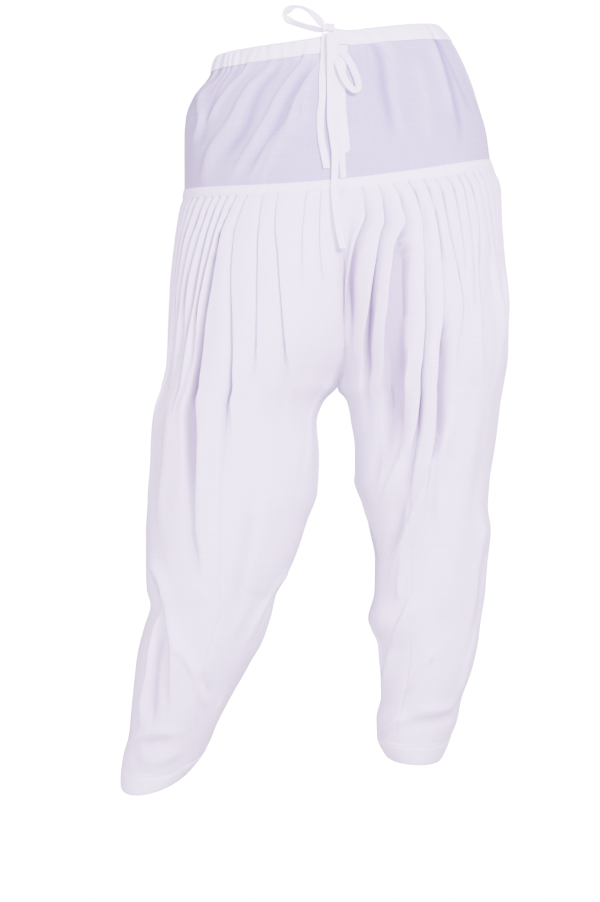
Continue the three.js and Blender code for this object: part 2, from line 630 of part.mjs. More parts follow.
// A flat tape along a route. "face" is the direction that its broad side turns to at each route point.
const TAPE_CORNERS = [[0.5, 0.25], [0.42, 0.5], [-0.42, 0.5], [-0.5, 0.25], [-0.5, -0.25], [-0.42, -0.5],
  [0.42, -0.5], [0.5, -0.25]];
function tapeMesh(name, route, steps) {
  const curve = new THREE.CatmullRomCurve3(route.map(([x, y, z]) => new THREE.Vector3(x, y, z)));
  const faces = new THREE.CatmullRomCurve3(route.map(([, , , fx, fy, fz]) => new THREE.Vector3(fx, fy, fz)));
  const positions = [];
  const indices = [];
  const sides = TAPE_CORNERS.length;
  for (let s = 0; s <= steps; s += 1) {
    const centre = curve.getPoint(s / steps);
    const tangent = curve.getTangent(s / steps);
    const face = faces.getPoint(s / steps);
    const normal = face.clone().addScaledVector(tangent, -face.dot(tangent)).normalize();
    const across = tangent.clone().cross(normal);
    for (const [wide, thick] of TAPE_CORNERS) {
      const point = centre.clone().addScaledVector(across, wide * TAPE_WIDTH)
        .addScaledVector(normal, thick * TAPE_THICKNESS);
      positions.push(point.x, point.y, point.z);
    }
  }
  for (let s = 0; s < steps; s += 1) {
    for (let c = 0; c < sides; c += 1) {
      const [a, b] = [s * sides + c, s * sides + (c + 1) % sides];
      indices.push(a, b, b + sides, a, b + sides, a + sides);
    }
  }
  const endStart = steps * sides;
  for (let c = 1; c < sides - 1; c += 1) {
    indices.push(0, c + 1, c, endStart, endStart + c, endStart + c + 1);
  }
  return solidMesh(name, white('tape cotton', DOUBLE_COTTON), positions, indices);
}

// The knot rests on the casing's front, over its mouth.
const CASING_FRONT = TRUNK.front(MOUTH_LIFT.left) - CASING_LIFT;
const KNOT_AT = new THREE.Vector3(2, CASING_FRONT - SEAM_GAP - KNOT_SIZE.depth / 2, 2);
const KNOT_ROUNDING = 1.5;
function knotGeometry() {
  const halfWidth = KNOT_SIZE.width / 2 - KNOT_ROUNDING;
  const halfHeight = KNOT_SIZE.height / 2 - KNOT_ROUNDING;
  const outline = new THREE.Shape();
  outline.absarc(halfWidth - KNOT_ROUNDING, halfHeight - KNOT_ROUNDING, KNOT_ROUNDING, 0, Math.PI / 2);
  outline.absarc(KNOT_ROUNDING - halfWidth, halfHeight - KNOT_ROUNDING, KNOT_ROUNDING, Math.PI / 2, Math.PI);
  outline.absarc(KNOT_ROUNDING - halfWidth, KNOT_ROUNDING - halfHeight, KNOT_ROUNDING, Math.PI, 1.5 * Math.PI);
  outline.absarc(halfWidth - KNOT_ROUNDING, KNOT_ROUNDING - halfHeight, KNOT_ROUNDING, 1.5 * Math.PI, 2 * Math.PI);
  outline.closePath();
  const geometry = new THREE.ExtrudeGeometry(outline, {
    depth: KNOT_SIZE.depth - 2 * KNOT_ROUNDING,
    bevelThickness: KNOT_ROUNDING,
    bevelSize: KNOT_ROUNDING,
    bevelSegments: 2,
    curveSegments: 3,
  });
  geometry.translate(0, 0, KNOT_ROUNDING - KNOT_SIZE.depth / 2);
  geometry.rotateX(Math.PI / 2);
  geometry.translate(KNOT_AT.x, KNOT_AT.y, KNOT_AT.z);
  return geometry;
}

// Foremost cloth of the trunk or legs at a place seen from the front.
function clothFront(x, z) {
  let down = -z;
  let place;
  for (let i = 0; i < 4; i += 1) {
    const side = x < TRUNK.mid(down) ? RIGHT : LEFT;
    const along = arcOf(side, FRONT, down).length - Math.abs(x - TRUNK.mid(down));
    place = onCloth(side, FRONT, down, along).point;
    down += place.z - z;
  }
  return place.y;
}

// Routes of the tape: x, z, how far its middle lies in front of the cloth, then the way its broad side faces.
const onFront = (rows) => rows.map(([x, z, off, ...face]) => [x, clothFront(x, z) - off, z, ...face]);

// Under the knot four layers of tape hang one behind the other, from the cloth outwards.
const KNOT_FOOT = KNOT_AT.z - KNOT_SIZE.height / 2 - 2 * SEAM_GAP;
const KNOT_SIDE = KNOT_AT.x - KNOT_SIZE.width / 2 - SEAM_GAP;
const LAYER = TAPE_THICKNESS + SEAM_GAP;
const layerY = (layer) => KNOT_AT.y + LAYER * (1.5 - layer);

const LOOP_RIGHT_ROUTE = [
  [KNOT_SIDE, KNOT_AT.y, 4.8, 0, -0.5, 0.87],
  [KNOT_SIDE - 2, KNOT_AT.y, 4.9, 0, -0.5, 0.87],
  [-9.5, KNOT_AT.y - 1, 9.5, -0.5, -0.5, 0.7],
  [-17, KNOT_AT.y - 3, 17.5, -0.5, -0.5, 0.7],
  [-28, KNOT_AT.y - 4, 25, -0.1, -0.5, 0.9],
  [-40, KNOT_AT.y - 4, 28, 0.2, -0.5, 0.9],
  [-50, KNOT_AT.y - 4, 24, 0.8, -0.6, 0.4],
  [-54.5, KNOT_AT.y - 4, 17.5, 1, -0.6, 0],
  [-50, KNOT_AT.y - 4, 11.5, 0.7, -0.6, -0.5],
  [-40, KNOT_AT.y - 3.5, 7, 0.3, -0.6, -0.8],
  [-26, KNOT_AT.y - 2.5, 2.7, 0.2, -0.6, -0.8],
  [-13, KNOT_AT.y - 1, 0, 0.1, -0.6, -0.8],
  [KNOT_SIDE - 2, KNOT_AT.y, -0.7, 0, -0.5, -0.87],
  [KNOT_SIDE, KNOT_AT.y, -0.6, 0, -0.5, -0.87],
];
const LOOP_LEFT_ROUTE = [
  [3.6, layerY(2), KNOT_FOOT, 0, -1, 0],
  ...onFront([
    [4.2, -13, 9.8, 0, -1, 0.2],
    [8, -30, 6.7, 0.1, -1, 0.1],
    [14.5, -48, 6.4, 0.2, -1, 0.1],
    [20, -62, 6.6, 0.3, -1, 0.1],
    [27.5, -74, 6.8, 0.3, -1, 0.2],
    [34.5, -79, 6.6, 0, -1, 0.4],
    [38.5, -74, 6, -0.4, -1, 0.1],
    [36.5, -62, 5.4, -0.5, -1, 0],
    [30, -46, 4.9, -0.4, -1, 0],
    [22, -33.5, 4.4, -0.3, -1, 0],
    [13, -24.5, 4.6, -0.1, -1, 0],
    [5.6, -15, 7, 0, -1, 0.2],
  ]),
  [4.8, layerY(1), KNOT_FOOT, 0, -1, 0],
];
const END_LONG_ROUTE = [
  [3.3, layerY(3), KNOT_FOOT, 0, -1, 0],
  ...onFront([
    [3.3, -13, 12.2, 0, -1, 0.2],
    [3.3, -32, 10.8, 0, -1, 0.1],
    [3.3, -50, 7.9, 0, -1, 0],
    [3.3, -66, 5, 0, -1, 0],
    [3.2, -92, 4, 0, -1, 0],
    [3.6, -118, 3.8, 0, -1, 0],
    [6, -138, 3.8, 0.1, -1, 0],
    [9, -158, 4, 0.1, -1, 0],
    [8.5, -184, 4, 0, -1, 0],
    [8, -206, 5, 0, -1, 0],
    [10, -230, 7, 0, -1, 0],
    [13.5, -254, 8, 0.1, -1, 0],
    [18.5, -279, 8.5, 0.1, -1, 0],
  ]),
];
const END_SHORT_ROUTE = [
  [-3.3, layerY(0), KNOT_FOOT, 0, -1, 0],
  ...onFront([
    [-3.4, -13, 5, 0, -1, 0.2],
    [-4.2, -24, 4.6, 0, -1, 0.1],
    [-5, -38, 2.6, -0.1, -1, 0],
    [-6.5, -60, 1.9, -0.1, -1, 0],
    [-7, -88, 1.9, -0.1, -1, 0],
    [-9, -108, 1.9, -0.1, -1, 0],
    [-9.5, -124, 1.9, -0.1, -1, 0],
    [-8, -142, 1.9, 0, -1, 0],
    [-4.5, -160, 1.9, 0.1, -1, 0],
    [-1.5, -178, 1.9, 0.1, -1, 0],
  ]),
];

const knot = new THREE.Mesh(knotGeometry(), white('tape cotton', DOUBLE_COTTON));
knot.name = 'drawstring_knot';
part.add(knot);
part.add(tapeMesh('drawstring_loop_right', LOOP_RIGHT_ROUTE, 20));
part.add(tapeMesh('drawstring_loop_left', LOOP_LEFT_ROUTE, 20));
part.add(tapeMesh('drawstring_end_long', END_LONG_ROUTE, 20));
part.add(tapeMesh('drawstring_end_short', END_SHORT_ROUTE, 15));

export default part;
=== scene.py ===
import math

import bpy
import numpy as np
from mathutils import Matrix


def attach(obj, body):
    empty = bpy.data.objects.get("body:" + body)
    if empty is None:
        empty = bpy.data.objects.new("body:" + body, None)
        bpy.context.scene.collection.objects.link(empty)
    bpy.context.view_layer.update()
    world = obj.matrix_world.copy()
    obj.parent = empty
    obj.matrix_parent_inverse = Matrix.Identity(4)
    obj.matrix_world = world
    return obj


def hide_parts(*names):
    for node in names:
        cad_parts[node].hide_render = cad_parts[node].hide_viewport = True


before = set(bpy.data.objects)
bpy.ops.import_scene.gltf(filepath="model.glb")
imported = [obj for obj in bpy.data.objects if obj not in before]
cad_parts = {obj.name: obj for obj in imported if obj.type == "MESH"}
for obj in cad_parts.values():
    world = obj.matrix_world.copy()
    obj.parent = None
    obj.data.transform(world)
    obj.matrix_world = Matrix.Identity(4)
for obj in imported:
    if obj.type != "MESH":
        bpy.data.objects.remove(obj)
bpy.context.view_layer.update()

# --- Camera -----------------------------------------------------------------------------------------
# Stands straight in front, level with the middle of the garment, and looks level.
camera = bpy.data.objects.new("camera", bpy.data.cameras.new("camera"))
camera.data.sensor_fit = "VERTICAL"
camera.data.sensor_height = 24
camera.data.lens = 73.68
camera.location = (-0.035, -3.6, -0.532)
camera.rotation_euler = (math.pi / 2, 0, 0)
bpy.context.collection.objects.link(camera)
bpy.context.scene.camera = camera

# --- Yoke -------------------------------------------------------------------------------------------
# The plain top of the salwar: one layer of thin white cotton cambric in three panels, two at the front
# on either side of the slit and one at the back. It hangs from the gathered waist in slanting folds.
# Lengths are in millimetres until a mesh is made; "down" is the depth below the waist along the centre.
MM = 0.001
RIGHT, LEFT = -1, 1
FRONT, BACK = -1, 1
YOKE_DEPTH = 173.5
CROTCH_DOWN = 452
CASING_HEIGHT = 21
CLOTH_WALL = 0.6
# Panels lap by a hair where they meet, so that no light shows between them.
SEAM_LAP = 0.1


def smoothstep(start, end, value):
    t = np.clip((np.asarray(value, float) - start) / (end - start), 0, 1)
    return t * t * (3 - 2 * t)


def hermite(t, start, leaving, end, arriving):
    """The cubic from start to end that leaves and arrives with these slopes."""
    return (
        (2 * t**3 - 3 * t**2 + 1) * start
        + (t**3 - 2 * t**2 + t) * leaving
        + (3 * t**2 - 2 * t**3) * end
        + (t**3 - t**2) * arriving
    )


def smooth_curve(xs, ys):
    """A smooth curve through points that never overshoots them (monotone cubic)."""
    xs, ys = np.array(xs, float), np.array(ys, float)
    steps = np.diff(xs)
    slopes = np.diff(ys) / steps
    tangents = np.concatenate([slopes[:1], np.zeros(len(xs) - 2), slopes[-1:]])
    for i in range(1, len(xs) - 1):
        before, after = slopes[i - 1], slopes[i]
        if before * after > 0:
            near_before = 2 * steps[i] + steps[i - 1]
            near_after = steps[i] + 2 * steps[i - 1]
            tangents[i] = (near_before + near_after) / (near_before / before + near_after / after)

    def at(x):
        held = np.clip(x, xs[0], xs[-1])
        i = np.clip(np.searchsorted(xs, held, side="left") - 1, 0, len(steps) - 1)
        t = (held - xs[i]) / steps[i]
        return hermite(t, ys[i], steps[i] * tangents[i], ys[i + 1], steps[i] * tangents[i + 1])

    return at


def travelled(points):
    """How far along a line of points each of them is."""
    return np.concatenate([[0], np.cumsum(np.linalg.norm(np.diff(points, axis=0), axis=1))])


def curves_of(columns, rows):
    """One smooth curve for each named column of a table that has a row per level."""
    levels = [row[0] for row in rows]
    return {
        name: smooth_curve(levels, [row[i] for row in rows]) for i, name in enumerate(columns) if i > 0
    }


# "mid" is the centre seam, "right" and "left" the outermost cloth, "front" and "back" the foremost and
# rearmost. "tilt" is how far the left side stands up; a dip is how far the cloth sags beside the slit.
TRUNK = curves_of(
    ["down", "mid", "right", "left", "tilt", "front", "back", "dip_right", "dip_left"],
    [
        [0, 0, -143, 143, 20, -98, 98, 7.5, 4],
        [26, 6, -153, 165, 20, -104, 110, 7, 2],
        [52, 4, -174, 179, 20, -110, 124, 8, 5],
        [78, 4, -184, 189, 20, -117, 136, 11, 9],
        [104, 6, -186, 198, 20, -123, 145, 13, 13],
        [138, 11, -186, 208, 20, -129, 152, 16, 16],
        [173.5, 14, -186, 213, 19.5, -133, 156, 18, 18],
        [209, 15, -191, 224, 16.5, -137, 158, 16, 16],
        [244, 17, -196, 225, 14.5, -140, 158, 13, 13],
        [298, 21, -201, 229, 11.5, -142, 155, 9, 9],
        [360, 23, -204, 236, 8, -142, 150, 5, 5],
        [413, 21, -209, 235, 5, -140, 143, 2, 2],
        [452, 13, -216, 229, 1, -137, 136, 0, 0],
    ],
)


def trunk_level(side, down):
    """One level of one side of the trunk: an ellipse that is open towards the other side."""
    outer = TRUNK["right" if side == RIGHT else "left"](down)
    inner = TRUNK["mid"](down) - side * SEAM_LAP / 2
    opened = max(0, (down - YOKE_DEPTH) / (CROTCH_DOWN - YOKE_DEPTH)) ** 3
    opened += 0.5 * (1 - opened) * float(smoothstep(0.5, 1, opened))  # rounds the arch of the crotch
    fork = math.asin(math.sqrt(max(0, 1 - opened)))
    half_width = (outer - inner) / (1 + math.cos(fork))
    dips = [TRUNK["dip_right"](down), TRUNK["dip_left"](down)]
    return {
        "fork": fork,
        "half_width": half_width,
        "centre_x": outer - half_width,
        "centre_y": (TRUNK["front"](down) + TRUNK["back"](down)) / 2,
        "half_depth": (TRUNK["back"](down) - TRUNK["front"](down)) / 2,
        "inner": inner,
        "outer": outer,
        "inner_z": -down,
        "outer_z": -down + side * TRUNK["tilt"](down),
        "dip": {FRONT: dips[0] if side == RIGHT else dips[1], BACK: sum(dips) / 2},
        "pitch": 0,
    }


def on_level(level, half, angle):
    """Points and outward directions at these angles; the side line is at 180 degrees."""
    x = level["centre_x"] - level["half_width"] * np.cos(angle)
    y = level["centre_y"] + half * level["half_depth"] * np.sin(angle)
    share = (x - level["inner"]) / (level["outer"] - level["inner"])
    z = (
        level["inner_z"]
        + (level["outer_z"] - level["inner_z"]) * share
        + level["pitch"] * (y - level["centre_y"])
        - level["dip"][half] * np.sin(angle) ** 2
    )
    out_x = -np.cos(angle) / level["half_width"]
    out_y = half * np.sin(angle) / level["half_depth"]
    size = np.hypot(out_x, out_y)
    return np.stack([x, y, z], -1), np.stack([out_x / size, out_y / size, 0 * x], -1)


def walk_level(level, half):
    """Angles of a level's half and the distance of each from the side line, along the cloth."""
    angles = np.linspace(math.pi, level["fork"], 97)
    return angles, travelled(on_level(level, half, angles)[0])


def length_of(level, half):
    """The length of a level's half along the cloth."""
    return walk_level(level, half)[1][-1]


def on_cloth(level, half, along):
    angles, lengths = walk_level(level, half)
    return on_level(level, half, np.interp(along, lengths, angles))


def fold_course(path):
    """A smooth line through a fold's points, each given as down and along."""
    path = np.array(path, float)
    gone = travelled(path)
    at = np.linspace(0, gone[-1], 4 * len(path))
    return np.stack([smooth_curve(gone, path[:, 0])(at), smooth_curve(gone, path[:, 1])(at)], -1)


FOLD_FADES_IN, FOLD_FADES_OUT = 0.22, 0.72


def fold_height(folds, side, down, along):
    """Height of the drag folds at each place. A fold runs along its path, "rise" high, and its flank that
    faces the side line is "outer" times as wide as the other. Behind the side line, along is negative."""
    height = np.zeros(along.shape)
    for fold_side, rise, width, outer, *path in folds:
        if fold_side != side:
            continue
        course = fold_course(path)
        nearest = np.full(along.shape, 1e9)
        signed = np.zeros(along.shape)
        gone = np.zeros(along.shape)
        for i, (a, b) in enumerate(zip(course, course[1:])):
            run = b - a
            share = np.clip(((down - a[0]) * run[0] + (along - a[1]) * run[1]) / (run @ run), 0, 1)
            off_down = down - a[0] - share * run[0]
            off_along = along - a[1] - share * run[1]
            distance = np.hypot(off_down, off_along)
            closer = distance < nearest
            nearest = np.where(closer, distance, nearest)
            signed = np.where(closer, run[0] * off_along - run[1] * off_down, signed)
            gone = np.where(closer, (i + share) / (len(course) - 1), gone)
        outward = signed * np.sign(np.where(along == 0, 1, along)) < 0
        flank = np.where(outward, width * outer, width)
        ends = 1 - smoothstep(FOLD_FADES_OUT, 1, gone)
        if path[0][0] > 0:
            ends *= smoothstep(0, FOLD_FADES_IN, gone)
        height += rise * ends * np.exp(-((nearest / flank) ** 2))
    return height


def grid_corners(rows, columns):
    """Row and column of the four corners of each cell of a grid of points."""
    r, c = np.meshgrid(np.arange(rows - 1), np.arange(columns - 1), indexing="ij")
    return [(r, c), (r, c + 1), (r + 1, c + 1), (r + 1, c)]


def new_piece(name, points, faces, places=None):
    """A mesh object from points in millimetres, left selected. "places" become its UV map."""
    mesh = bpy.data.meshes.new(name)
    mesh.from_pydata((points.reshape(-1, 3) * MM).tolist(), [], faces)
    if places is not None:
        mesh.uv_layers.new(name="cloth").data.foreach_set("uv", (places * MM).ravel())
    piece = bpy.data.objects.new(name, mesh)
    bpy.context.collection.objects.link(piece)
    bpy.ops.object.select_all(action="DESELECT")
    piece.select_set(True)
    bpy.context.view_layer.objects.active = piece
    return piece


def cloth_piece(name, points, cloth, wall=CLOTH_WALL, closed=False, flip=False, thin=None):
    """A sheet from rows of points, given a thin wall on its inner side. "cloth" is each point's own place
    on the flat cloth, which becomes the UV map that the weave follows. The painted shade given for each
    point is 0 where no shade is painted and 1 for full painted shade in a fold's hollow; over 1, in the
    narrow gap under a folded edge, the painted shade is darker still. The last column of a closed sheet lies
    on its first."""
    rows, columns = points.shape[:2]
    corners = grid_corners(rows, columns)
    if flip:
        corners.reverse()
    kept = columns - 1 if closed else columns
    faces = np.stack([r * kept + c % kept for r, c in corners], -1).reshape(-1, 4).tolist()
    places = np.stack([cloth[r, c] for r, c in corners], -2).reshape(-1, 2)
    piece = new_piece(name, points[:, :kept], faces, places)
    if thin is not None:
        piece.data.attributes.new("thin", "FLOAT", "POINT").data.foreach_set("value", thin[:, :kept].ravel())
    thickness = piece.modifiers.new("wall", "SOLIDIFY")
    thickness.thickness = wall * MM
    thickness.offset = -1
    bpy.ops.object.modifier_apply(modifier="wall")
    bpy.ops.object.shade_smooth_by_angle(angle=math.radians(55))
    return piece


def linear(hex_colour):
    """An sRGB hex colour as the linear RGBA that shaders use."""
    channels = [int(hex_colour[i : i + 2], 16) / 255 for i in (1, 3, 5)]
    return tuple(v / 12.92 if v <= 0.04045 else ((v + 0.055) / 1.055) ** 2.4 for v in channels) + (1,)


def add_node(material, kind, inputs=None, **settings):
    """Adds one node. An input is a value, or a node and the name of its output to link."""
    made = material.node_tree.nodes.new("ShaderNode" + kind)
    for name, value in settings.items():
        setattr(made, name, value)
    for name, value in (inputs or {}).items():
        if isinstance(value, tuple) and isinstance(value[0], bpy.types.Node):
            material.node_tree.links.new(value[0].outputs[value[1]], made.inputs[name])
        else:
            made.inputs[name].default_value = value
    return made


def new_material(name, **values):
    """A material and its shader, with these inputs set; an underscore stands for a space."""
    material = bpy.data.materials.new(name)
    material.use_nodes = True
    shader = material.node_tree.nodes["Principled BSDF"]
    for key, value in values.items():
        shader.inputs[key.replace("_", " ")].default_value = value
    return material, shader


# Noise cells per metre across and along the threads: slubs are long and thin.
SLUBS_IN_WARP = (420.0, 14.0, 1.0)
SLUBS_IN_WEFT = (11.0, 380.0, 1.0)
SLUB_DEPTH = 0.0004
CRUMPLES_PER_METRE = 34.0
# A wave texture of scale 1 has this many radians a metre.
WAVE_TEXTURE_TURN = 20


def woven_cotton(
    name, colour, shade, thin, thread, weave_depth, crumple, slub=0.5, roughness=0.88, alpha=1.0
):
    """Plain-woven cotton on the piece's cloth map: crossing threads, thicker slubs along some of them, and
    the soft crumple of washed cloth. Its colour goes from "shade" to "colour" with the thickness of the
    threads, and towards its last colour, a painted shade, as far as the piece's painted shade attribute
    asks:
    it darkens fold hollows and the narrow gaps under folded edges, where shade falls. "thread" is the
    spacing in metres, "weave_depth" and "crumple" are depths in metres."""
    material, shader = new_material(
        name,
        Roughness=roughness,
        Sheen_Weight=0.2,
        Sheen_Roughness=0.5,
        Specular_IOR_Level=0.25,
        Alpha=alpha,
    )
    cloth = (add_node(material, "UVMap", uv_map="cloth"), "UV")
    waves = 2 * math.pi / WAVE_TEXTURE_TURN / thread
    warp, weft = (
        (add_node(material, "TexWave", {"Vector": cloth, "Scale": waves}, bands_direction=way), "Fac")
        for way in "XY"
    )
    weave = add_node(material, "Math", {0: warp, 1: weft}, operation="MULTIPLY")
    slubs = []
    for cells in (SLUBS_IN_WARP, SLUBS_IN_WEFT):
        stretched = add_node(material, "Mapping", {"Vector": cloth, "Scale": cells})
        noise = {"Vector": (stretched, "Vector"), "Scale": 1.0, "Detail": 2.0}
        slubs.append((add_node(material, "TexNoise", noise), "Fac"))
    threads = add_node(material, "Math", dict(enumerate(slubs)), operation="ADD")
    rumple = add_node(
        material,
        "TexNoise",
        {
            "Vector": cloth,
            "Scale": CRUMPLES_PER_METRE,
            "Detail": 3.0,
            "Roughness": 0.55,
            "Distortion": 0.6,
        },
    )
    thickness = (threads, "Value")
    tone = add_node(material, "MapRange", {"Value": thickness, "From Min": 0.75, "From Max": 1.3})
    mixed = add_node(
        material,
        "Mix",
        {"Factor": (tone, "Result"), "A": linear(shade), "B": linear(colour)},
        data_type="RGBA",
    )
    # Painted shade: the point attribute darkens the colour towards the last colour in hollows and gaps.
    shade_paint = add_node(material, "Attribute", attribute_name="thin")
    painted_shade_mix = add_node(
        material,
        "Mix",
        {"Factor": (shade_paint, "Fac"), "A": (mixed, "Result"), "B": linear(thin)},
        data_type="RGBA",
        clamp_factor=False,
    )
    material.node_tree.links.new(painted_shade_mix.outputs["Result"], shader.inputs["Base Color"])
    normal = {}
    for height, strength, depth in (
        ((rumple, "Fac"), 1.0, crumple),
        (thickness, slub, SLUB_DEPTH),
        ((weave, "Value"), 0.3, weave_depth),
    ):
        raised = add_node(
            material, "Bump", {"Height": height, "Strength": strength, "Distance": depth, **normal}
        )
        normal = {"Normal": (raised, "Normal")}
    material.node_tree.links.new(raised.outputs["Normal"], shader.inputs["Normal"])
    return material


def hand_over(piece, material, node=None):
    """Gives a piece its material, body and slot, and hides the CAD node that it takes the place of."""
    piece.data.materials.append(material)
    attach(piece, "root")
    if node:
        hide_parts(node)


# Gathers that the drawstring makes: runs along the waist, "from" and "to" being distances from the side
# line at the top edge, "rise" their height and "pitch" the distance from one to the next.
GATHERS = [
    # side, half, from, to, rise, pitch
    [RIGHT, FRONT, -4, 88, 1.5, 11.5],
    [RIGHT, FRONT, 78, 176, 0.8, 17],
    [LEFT, FRONT, 128, 172, 1.2, 12],
    [LEFT, FRONT, 26, 84, 0.8, 15],
    [RIGHT, BACK, -4, 120, 1.3, 13],
    [RIGHT, BACK, 90, 200, 1.1, 10.5],
    [LEFT, BACK, -4, 90, 1.2, 12],
    [LEFT, BACK, 70, 200, 1.0, 14.5],
]
GATHER_REACH = 78

# Folds of the yoke, fanning out from the slit and hanging from the gathers.
YOKE_FOLDS = [
    # side, rise, width, outer, then down and along of each point
    [RIGHT, 5.5, 9, 0.3, (0, 168), (48, 178), (84, 174), (120, 156), (173, 118)],
    [RIGHT, -3.5, 7, 0.6, (18, 186), (50, 196), (98, 188), (173, 137)],
    [RIGHT, 5.5, 8, 0.3, (10, 186), (50, 204), (98, 201), (122, 180), (173, 149)],
    [RIGHT, 4.2, 7, 0.35, (52, 205), (94, 217), (118, 194), (173, 166)],
    [RIGHT, 5.2, 13, 0.35, (14, 131), (80, 125), (134, 87), (173, 72)],
    [RIGHT, -3.2, 8, 0.8, (20, 146), (90, 146), (150, 104)],
    [RIGHT, 4.4, 8, 0.45, (36, 62), (50, 46), (90, 67), (118, 42)],
    [RIGHT, -2, 7, 0.8, (44, 78), (92, 80), (128, 56)],
    [RIGHT, 3, 4.5, 0.4, (0, 181), (14, 183), (40, 197)],
    [RIGHT, 3.4, 7, 0.4, (0, 92), (34, 98), (72, 90), (110, 70)],
    [RIGHT, 1.6, 6, 0.6, (0, 36), (26, 34), (60, 26)],
    [LEFT, -3.4, 7, 0.7, (0, 156), (24, 158), (78, 180), (140, 197)],
    [LEFT, 3.6, 9, 0.45, (0, 136), (26, 138), (70, 162), (140, 184)],
    [LEFT, -3.8, 7, 0.7, (0, 48), (46, 67), (92, 78), (160, 100)],
    [LEFT, 3.4, 7, 0.5, (6, 64), (60, 84), (120, 100)],
    [LEFT, -2.2, 7, 0.7, (0, 38), (26, 53), (66, 59), (130, 48)],
    [LEFT, 1.6, 4, 0.6, (0, 158), (24, 164), (46, 176)],
    [LEFT, 2, 9, 0.6, (40, 112), (90, 128), (150, 150)],
    [LEFT, 1.8, 8, 0.6, (0, 14), (50, 24), (110, 20)],
    [RIGHT, 3, 10, 0.6, (0, -60), (80, -80), (173, -70)],
    [RIGHT, 3, 11, 0.6, (0, -130), (80, -150), (173, -160)],
    [RIGHT, -2.4, 9, 0.7, (10, -100), (90, -118), (150, -112)],
    [RIGHT, 2, 8, 0.6, (0, -178), (60, -204), (130, -224)],
    [RIGHT, 2.2, 9, 0.6, (20, -30), (90, -40), (150, -26)],
    [LEFT, 3, 11, 0.6, (0, -90), (80, -115), (173, -130)],
    [LEFT, -3, 10, 0.7, (0, -140), (80, -170), (173, -190)],
    [LEFT, 2.4, 8, 0.6, (0, -50), (70, -62), (140, -80)],
    [LEFT, 2, 9, 0.6, (10, -176), (80, -208), (150, -232)],
    [LEFT, -2, 8, 0.7, (24, -22), (90, -34), (140, -20)],
]

# The knot pulls up the two ends of the casing at the slit, most on the left, and the yoke under them.
MOUTH_LIFT = {RIGHT: 1, LEFT: 7}
MOUTH_LIFT_WIDTH = 18
MOUTH_LIFT_DEPTH = 60

# Painted shade on the single layer: flat cloth gets a little of it, crests none, and it grows by its full
# strength over a hollow of this depth.
PAINTED_SHADE_WHEN_FLAT = 0.22
HOLLOW_OF_YOKE = 6


def trunk_line(side, half, down, shares, lift, inset=0):
    """Points across one quarter of the trunk at one depth. Share 0 is the side line, 1 the slit or back;
    "inset" is how far short of the slit or back the cloth ends. Also gives their outward directions,
    distances from the side line, and the painted shade that darkens the hollows of the gathers and folds."""
    level = trunk_level(side, down)
    length = length_of(level, half)
    along = np.minimum(length - inset, np.asarray(shares) * length)
    at_top = along * length_of(trunk_level(side, 0), half) / length
    # The folds leave the seams at the slit, the back and the side flat.
    near_slit = smoothstep(length - 40, length - 15, along) * (half == FRONT)
    at_back = smoothstep(length - 22, length, along) * (half == BACK)
    at_side = smoothstep(0, 16, along)
    rise = np.zeros(along.shape)
    for gather_side, gather_half, start, end, size, pitch in GATHERS:
        if (gather_side, gather_half) == (side, half):
            window = smoothstep(start, start + 18, at_top) * (1 - smoothstep(end - 18, end, at_top))
            wander = at_top + 2.4 * np.sin(at_top / 9 + pitch) + 1.6 * np.sin(at_top / 4.3 + side)
            rise += size * window * np.cos(2 * np.pi * wander / pitch)
    rise *= (1 - smoothstep(0, GATHER_REACH, down)) ** 1.5 * (1 - near_slit) * at_side
    folds = fold_height(YOKE_FOLDS, side, np.full(along.shape, float(down)), -half * along)
    folds *= (1 - 0.7 * near_slit) * (1 - at_back) * (0.35 + 0.65 * smoothstep(0, 26, down)) * at_side
    crease = 0.35 * np.sin(along / 8.5 + down / 31) * np.sin(down / 23 + along / 47 + side) * at_side
    points, outward = on_cloth(level, half, along)
    points = points + outward * (rise + folds + crease * (1 - near_slit) + lift)[:, None]
    pulled = np.exp(-(((length - along) / MOUTH_LIFT_WIDTH) ** 2)) * (half == FRONT)
    points[:, 2] += MOUTH_LIFT[side] * pulled * (1 - smoothstep(0, MOUTH_LIFT_DEPTH, down))
    # The last value is painted shade: darker in the hollows of the gathers and folds, none on their crests.
    return points, outward, along, np.clip(PAINTED_SHADE_WHEN_FLAT - (rise + folds) / HOLLOW_OF_YOKE, 0, 1.2)


def trunk_walk(quarters, down, count, lift=0, inset=0, welded=True):
    """Points round some quarters of the trunk at one depth, each walked from its first share to its last.
    Then their outward directions, distances from the side line, sides, places on the flat cloth and the
    painted shade of the folds. A welded walk has one point where two quarters meet, another has two."""
    parts = []
    for side, half, start, end in quarters:
        shares = np.linspace(start, end, count)
        points, outward, along, shade_paint = trunk_line(side, half, down, shares, lift, inset)
        place = np.stack([-half * along * side, np.full(count, float(down))], -1)
        kept = slice(1 if parts and welded else 0, None)
        parts.append([part[kept] for part in (points, outward, along, np.full(count, side), place, shade_paint)])
    return [np.concatenate(part) for part in zip(*parts)]


def way_round(slit=1):
    """The trunk's quarters from the right of the slit, round the back, to its left."""
    return [(RIGHT, FRONT, slit, 0), (RIGHT, BACK, 0, 1), (LEFT, BACK, 1, 0), (LEFT, FRONT, 0, slit)]


# The yoke goes up into the casing. Its rows lie closer together in the gathers.
YOKE_ROWS = np.concatenate([np.arange(CASING_HEIGHT - 1.6, 60, 3.2), np.arange(60, 172, 4.4), [YOKE_DEPTH]])
SIDE_LAP = -SEAM_LAP / 2 / 265


def yoke_panel(name, quarters, columns):
    # The panel carries painted shade in the hollows of its folds.
    rows = [trunk_walk(quarters, down, columns) for down in YOKE_ROWS]
    points, _, _, _, places, shade_paint = (np.array(part) for part in zip(*rows))
    return cloth_piece(name, points, places, thin=shade_paint)


